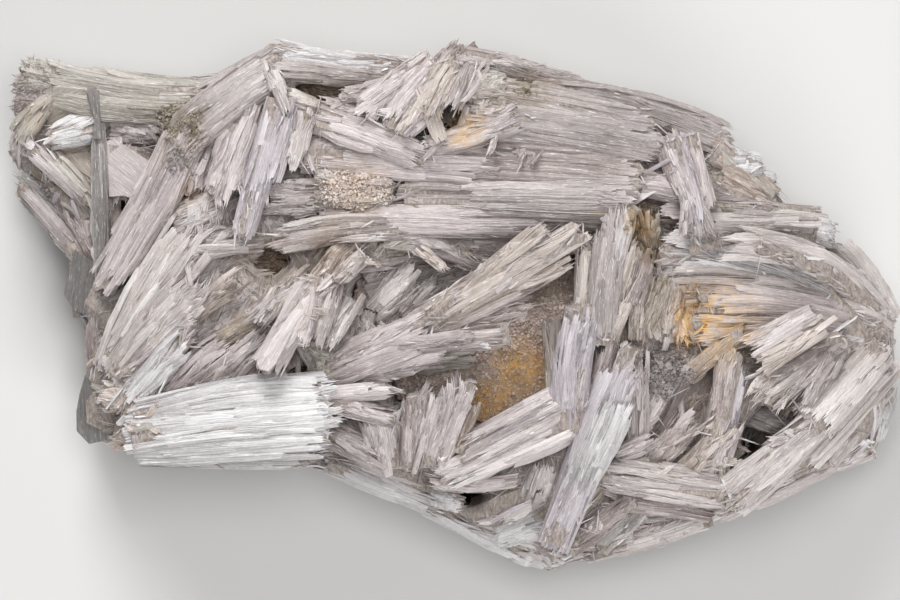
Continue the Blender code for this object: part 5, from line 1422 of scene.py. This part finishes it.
def patch_grains(noise, faces, patch, finish):
    """Grains of one patch, which thins out at its edge."""
    x, y, half_x, half_y, low, size, count, raised = patch
    middle = faces.middle
    away = np.hypot((middle[:, 0] - x) / (half_x + 4.0), (middle[:, 1] - y) / (half_y + 4.0))
    near = (faces.facing[:, 2] > 0.2) & (away < 1.0) & (middle[:, 2] > low)
    places, facing = faces.scatter(noise, count * 3, near)
    away = np.hypot((places[:, 0] - x) / half_x, (places[:, 1] - y) / half_y)
    kept = away < noise.uniform(0.75, 1.15, len(away))
    places, facing = places[kept], facing[kept]
    places[:, 2] += raised
    return place_grains(noise, places, facing, size, finish)


def make_plate(row, faces, noise):
    """One plate: its outline laid on the solid's mean slope, extruded and bevelled."""
    _, finish, raised, thick, turn, corners = row
    outline = np.array(corners)
    middle = outline.mean(0)
    fitted = np.concatenate([middle + (outline - middle) * share for share in (0.0, 0.5, 0.85)])
    hits = [faces.under(*place) for place in fitted]
    heights = np.array([hit[2] if hit else np.nan for hit in hits])
    found = ~np.isnan(heights)
    level = np.column_stack([fitted[found] - middle, np.ones(found.sum())])
    slope = np.linalg.lstsq(level, heights[found], rcond=None)[0]
    slope[:2] = np.clip(slope[:2], -FACE_SLOPE, FACE_SLOPE)
    form = bmesh.new()
    for x, y in outline:
        high = slope[0] * (x - middle[0]) + slope[1] * (y - middle[1]) + slope[2]
        form.verts.new((x, y, high + raised))
    face = form.faces.new(form.verts)
    bmesh.ops.recalc_face_normals(form, faces=[face])
    extrude_along(form, face, -thick)
    bmesh.ops.bevel(form, geom=form.edges[:], offset=FACE_BEVEL, segments=1, affect="EDGES", profile=0.5)
    if finish == "glass":
        top = max(form.faces, key=lambda one: one.calc_center_median().z)
        bmesh.ops.poke(form, faces=[top], offset=GLASS_DOME)
    points, triangles = form_arrays(form)
    along = np.array([math.cos(math.radians(turn)), math.sin(math.radians(turn))])
    far = points[:, :2] @ along
    wide = points[:, :2] @ np.array([-along[1], along[0]])
    odd = np.full(len(points), noise.uniform(0.0, STREAK_SPAN))
    grain = np.stack([far, wide, odd], axis=-1)
    growth = np.tile((0.3, 0.32 if finish == "grey" else 0.5, 0.05), (len(points), 1))
    return points, triangles, grain, growth, np.full(len(triangles), finish)


# ---------------------------------------------------------------------------------------------
# Settings
# ---------------------------------------------------------------------------------------------
class TremoliteLook(bpy.types.PropertyGroup):
    """Sizes and finish of the strands and grains."""

    strand_width: bpy.props.FloatProperty(
        name="Strand width",
        description="Width of the strands, as a share of the usual 0.24 to 0.30 mm",
        default=1.0,
        min=0.4,
        max=3.0,
        subtype="FACTOR",
    )
    strand_cover: bpy.props.FloatProperty(
        name="Strand cover",
        description="How many layers of strands lie on a sheaf, as a share of the usual number",
        default=1.0,
        min=0.2,
        max=2.0,
        subtype="FACTOR",
    )
    loose_splinters: bpy.props.FloatProperty(
        name="Loose splinters",
        description="How many short splinters lie loose on the sheaves",
        default=1.0,
        min=0.0,
        max=4.0,
        subtype="FACTOR",
    )
    streak_bump: bpy.props.FloatProperty(
        name="Cleavage relief",
        description="Strength of the fine steps along each strand",
        default=0.8,
        min=0.0,
        max=1.0,
        subtype="FACTOR",
    )
    glass_clearness: bpy.props.FloatProperty(
        name="Glass clearness",
        description="How much light goes through the clear crystals",
        default=0.45,
        min=0.0,
        max=1.0,
        subtype="FACTOR",
    )
    grain_size: bpy.props.FloatProperty(
        name="Grain size",
        description="Usual width of a grain of the crust",
        default=0.00042,
        min=0.0002,
        max=0.003,
        unit="LENGTH",
    )


class TremoliteStage(bpy.types.PropertyGroup):
    """Floor, lights and camera."""

    floor_colour: bpy.props.FloatVectorProperty(
        name="Floor colour",
        description="Colour of the plain floor",
        default=linear("D9D8D6"),
        size=4,
        min=0.0,
        max=1.0,
        subtype="COLOR",
    )
    key_power: bpy.props.FloatProperty(
        name="Key light",
        description="Power of the soft key light from above",
        default=8.8,
        min=0.0,
        unit="POWER",
    )
    fill_power: bpy.props.FloatProperty(
        name="Fill light",
        description="Power of the soft fill light from the lower right",
        default=4.8,
        min=0.0,
        unit="POWER",
    )
    camera_height: bpy.props.FloatProperty(
        name="Camera height",
        description="Height of the camera over the floor",
        default=1.528,
        min=0.5,
        unit="LENGTH",
    )
    camera_lens: bpy.props.FloatProperty(
        name="Lens",
        description="Focal length in millimetres",
        default=300.0,
        min=50.0,
        unit="CAMERA",
    )


# ---------------------------------------------------------------------------------------------
# Operators
# ---------------------------------------------------------------------------------------------
def add_light(name, place, size, power):
    """A square soft light that looks at the specimen."""
    data = bpy.data.lights.new(name, "AREA")
    data.size = size
    data.energy = power
    made = bpy.data.objects.new(name, data)
    made.location = place
    looking = LIT_POINT - Vector(place)
    made.rotation_euler = looking.to_track_quat("-Z", "Y").to_euler()
    bpy.context.scene.collection.objects.link(made)


class TREMOLITE_OT_stage(bpy.types.Operator):
    """Set the plain floor, soft lights and the camera above"""

    bl_idname = "tremolite.stage"
    bl_label = "Stage"

    def execute(self, context):
        stage = context.scene.tremolite_stage
        form = bmesh.new()
        bmesh.ops.create_grid(form, x_segments=1, y_segments=1, size=3.0)
        mesh = bpy.data.meshes.new("floor")
        form.to_mesh(mesh)
        form.free()
        floor = bpy.data.objects.new("floor", mesh)
        context.scene.collection.objects.link(floor)
        floor.location = (0.0, 0.0, -FLOOR_GAP)
        made, tree, shader = new_material("floor, matt painted board")
        mottle = add_noise(tree, add_place(tree), 14.0, 2.0, 0.5)
        colour = tuple(stage.floor_colour)
        shadow = tuple(0.96 * part for part in colour[:3]) + (1.0,)
        mixed = add_mix(tree, mottle, shadow, colour)
        set_inputs(tree, shader, {"Base Color": mixed, "Roughness": 0.9})
        mesh.materials.append(made)
        add_light("key light", (-0.22, 0.79, 0.62), 0.50, stage.key_power)
        add_light("fill light", (0.40, -0.68, 0.50), 0.60, stage.fill_power)
        add_light("top light", (0.05, 0.15, 1.25), 0.60, 1.3 * stage.fill_power)
        context.scene.view_settings.view_transform = "Standard"
        world = bpy.data.worlds.new("studio air")
        context.scene.world = world
        world.use_nodes = True
        backdrop = world.node_tree.nodes["Background"]
        backdrop.inputs["Color"].default_value = linear("E6E8EC")
        backdrop.inputs["Strength"].default_value = 0.20
        data = bpy.data.cameras.new("camera")
        data.lens = stage.camera_lens
        data.sensor_width = 36.0
        data.clip_start = 0.05
        camera = bpy.data.objects.new("camera", data)
        context.scene.collection.objects.link(camera)
        camera.location = (0.0, 0.0, stage.camera_height)
        context.scene.camera = camera
        return {"FINISHED"}


class TREMOLITE_OT_dress_solids(bpy.types.Operator):
    """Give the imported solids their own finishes"""

    bl_idname = "tremolite.dress_solids"
    bl_label = "Dress the solids"

    def execute(self, context):
        prepare()
        dressed = {"crystal_mass": mass_material(), "granular_crust": MATERIALS["crust_bed"]}
        for node, material in dressed.items():
            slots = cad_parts[node].data.materials
            slots.clear()
            slots.append(material)
        return {"FINISHED"}


class TREMOLITE_OT_sheaf_strands(bpy.types.Operator):
    """Lay the strands of every sheaf, one piece for each part of the specimen"""

    bl_idname = "tremolite.sheaf_strands"
    bl_label = "Sheaf strands"

    def execute(self, context):
        prepare()
        look = context.scene.tremolite_look
        for number, (part, rows) in enumerate(SHEAVES.items()):
            strands = Strands(np.random.default_rng(SEED + 10 * number))
            for row in rows:
                lay_sheaf(strands, Sheaf(row), look)
            finish_strands("strands_" + part, strands)
        return {"FINISHED"}


class TREMOLITE_OT_flank_fibres(bpy.types.Operator):
    """Lay fibres in patches over the broken flanks"""

    bl_idname = "tremolite.flank_fibres"
    bl_label = "Flank fibres"

    def execute(self, context):
        prepare()
        faces = Faces("crystal_mass")
        noise = np.random.default_rng(SEED + 500)
        flank = (faces.facing[:, 2] < FLANK_UP) & (faces.facing[:, 2] > FLANK_DOWN)
        flank &= faces.middle[:, 2] > FLANK_FOOT
        finishes = ["silk", "pearl", "silk", "white", "lilac"]
        for name, north in (("flank_fibres_upper", True), ("flank_fibres_lower", False)):
            strands = Strands(noise)
            allowed = flank & ((faces.middle[:, 1] > FLANK_MIDDLE) == north)
            places, facing = faces.scatter(noise, FLANK_FIBRES, allowed)
            seeds, seed_facing = faces.scatter(noise, FLANK_PATCHES, allowed)
            level = np.cross(seed_facing, (0.0, 0.0, 1.0))
            tilt = np.radians(noise.normal(0.0, 38.0, len(seeds)))
            heading = np.cos(tilt)[:, None] * unit(level)
            heading[:, 2] += np.sin(tilt)
            near = np.linalg.norm(places[:, None] - seeds[None], axis=2).argmin(1)
            heading = heading[near] + noise.normal(0.0, 0.10, (FLANK_FIBRES, 3))
            # The flanks lie under the top but stand in the open, so they get less painted shade than the
            # gaps, and less the higher they lie.
            deep = -0.5 - places[:, 2] / 100.0
            lay_fibres(strands, faces, places, facing, heading, ON_FLANKS, finishes, deep)
            finish_strands(name, strands)
        return {"FINISHED"}


class TREMOLITE_OT_gap_needles(bpy.types.Operator):
    """Fill the gaps between the sheaves with small matted needles"""

    bl_idname = "tremolite.gap_needles"
    bl_label = "Gap needles"

    def execute(self, context):
        prepare()
        faces = Faces("crystal_mass")
        noise = np.random.default_rng(SEED + 700)
        strands = Strands(noise)
        allowed = (faces.facing[:, 2] > GAP_UP) & (faces.middle[:, 2] > GAP_FOOT)
        places, facing = faces.scatter(noise, GAP_FIBRES, allowed)
        sheaves = [Sheaf(row) for rows in SHEAVES.values() for row in rows]
        covered = np.any([on_sheaf(sheaf, places) for sheaf in sheaves], axis=0)
        places, facing = places[~covered], facing[~covered]
        count = len(places)
        middles = np.array([0.5 * (sheaf.root + sheaf.tip) for sheaf in sheaves])
        lines = np.array([sheaf.along for sheaf in sheaves])
        near = np.linalg.norm(places[:, None] - middles[None], axis=2).argmin(1)
        heading = lines[near] + noise.normal(0.0, 0.36, (count, 3))
        finishes = ["silk", "band", "silk", "beige", "white", "silk"]
        # Painted shade of the gaps, of random strength for each needle.
        deep = noise.uniform(0.0, 0.4, count)
        lay_fibres(strands, faces, places, facing, heading, IN_GAPS, finishes, deep)
        finish_strands("gap_needles", strands)
        return {"FINISHED"}


class TREMOLITE_OT_jagged_tufts(bpy.types.Operator):
    """Stand tufts of jagged splinters out of the rough parts"""

    bl_idname = "tremolite.jagged_tufts"
    bl_label = "Jagged tufts"

    def execute(self, context):
        prepare()
        faces = Faces("crystal_mass")
        strands = Strands(np.random.default_rng(SEED + 800))
        for row in TUFTS:
            lay_tufts(strands, faces, row)
        finish_strands("jagged_tufts", strands)
        return {"FINISHED"}


class TREMOLITE_OT_crust_grains(bpy.types.Operator):
    """Scatter sugary grains over the hollow's crust"""

    bl_idname = "tremolite.crust_grains"
    bl_label = "Crust grains"

    def execute(self, context):
        prepare()
        size = context.scene.tremolite_look.grain_size / MM
        faces = Faces("granular_crust")
        noise = np.random.default_rng(SEED + 900)
        places, facing = faces.scatter(noise, CRUST_GRAINS, faces.facing[:, 2] > 0.3)
        made = place_grains(noise, places, facing, size, "crust")
        finish_piece("crust_grains", made)
        return {"FINISHED"}


class TREMOLITE_OT_grain_patches(bpy.types.Operator):
    """Scatter grains over the knots between the sheaves"""

    bl_idname = "tremolite.grain_patches"
    bl_label = "Grain patches"

    def execute(self, context):
        prepare()
        faces = Faces("crystal_mass")
        noise = np.random.default_rng(SEED + 950)
        made = []
        for finish, patches in GRAIN_PATCHES:
            for patch in patches:
                made += patch_grains(noise, faces, patch, finish)
        finish_piece("knot_grains", made)
        return {"FINISHED"}


class TREMOLITE_OT_cleavage_faces(bpy.types.Operator):
    """Lay the broad smooth cleavage faces on the solids"""

    bl_idname = "tremolite.cleavage_faces"
    bl_label = "Cleavage faces"

    def execute(self, context):
        prepare()
        faces = Faces("crystal_mass")
        noise = np.random.default_rng(SEED + 970)
        made = [make_plate(row, faces, noise) for row in PLATES]
        finish_piece("cleavage_faces", made)
        return {"FINISHED"}


STEPS = (
    TREMOLITE_OT_stage,
    TREMOLITE_OT_dress_solids,
    TREMOLITE_OT_sheaf_strands,
    TREMOLITE_OT_flank_fibres,
    TREMOLITE_OT_gap_needles,
    TREMOLITE_OT_jagged_tufts,
    TREMOLITE_OT_crust_grains,
    TREMOLITE_OT_grain_patches,
    TREMOLITE_OT_cleavage_faces,
)


class TREMOLITE_PT_panel(bpy.types.Panel):
    """The specimen's settings and steps in the sidebar"""

    bl_label = "Tremolite specimen"
    bl_idname = "TREMOLITE_PT_panel"
    bl_space_type = "VIEW_3D"
    bl_region_type = "UI"
    bl_category = "Tremolite"

    def draw(self, context):
        for group in (context.scene.tremolite_look, context.scene.tremolite_stage):
            for name in group.bl_rna.properties.keys():
                if name not in ("rna_type", "name"):
                    self.layout.prop(group, name)
        for step in STEPS:
            self.layout.operator(step.bl_idname)


CLASSES = (TremoliteLook, TremoliteStage, *STEPS, TREMOLITE_PT_panel)


def register():
    """Register the classes and hang the settings on the scene."""
    for item in CLASSES:
        bpy.utils.register_class(item)
    bpy.types.Scene.tremolite_look = bpy.props.PointerProperty(type=TremoliteLook)
    bpy.types.Scene.tremolite_stage = bpy.props.PointerProperty(type=TremoliteStage)


def unregister():
    """Take the settings and classes away again."""
    del bpy.types.Scene.tremolite_look
    del bpy.types.Scene.tremolite_stage
    for item in reversed(CLASSES):
        bpy.utils.unregister_class(item)


def main():
    """Make every piece in order."""
    register()
    bpy.ops.tremolite.stage()
    bpy.ops.tremolite.dress_solids()
    bpy.ops.tremolite.sheaf_strands()
    bpy.ops.tremolite.flank_fibres()
    bpy.ops.tremolite.gap_needles()
    bpy.ops.tremolite.jagged_tufts()
    bpy.ops.tremolite.crust_grains()
    bpy.ops.tremolite.grain_patches()
    bpy.ops.tremolite.cleavage_faces()


if __name__ == "__main__":
    main()
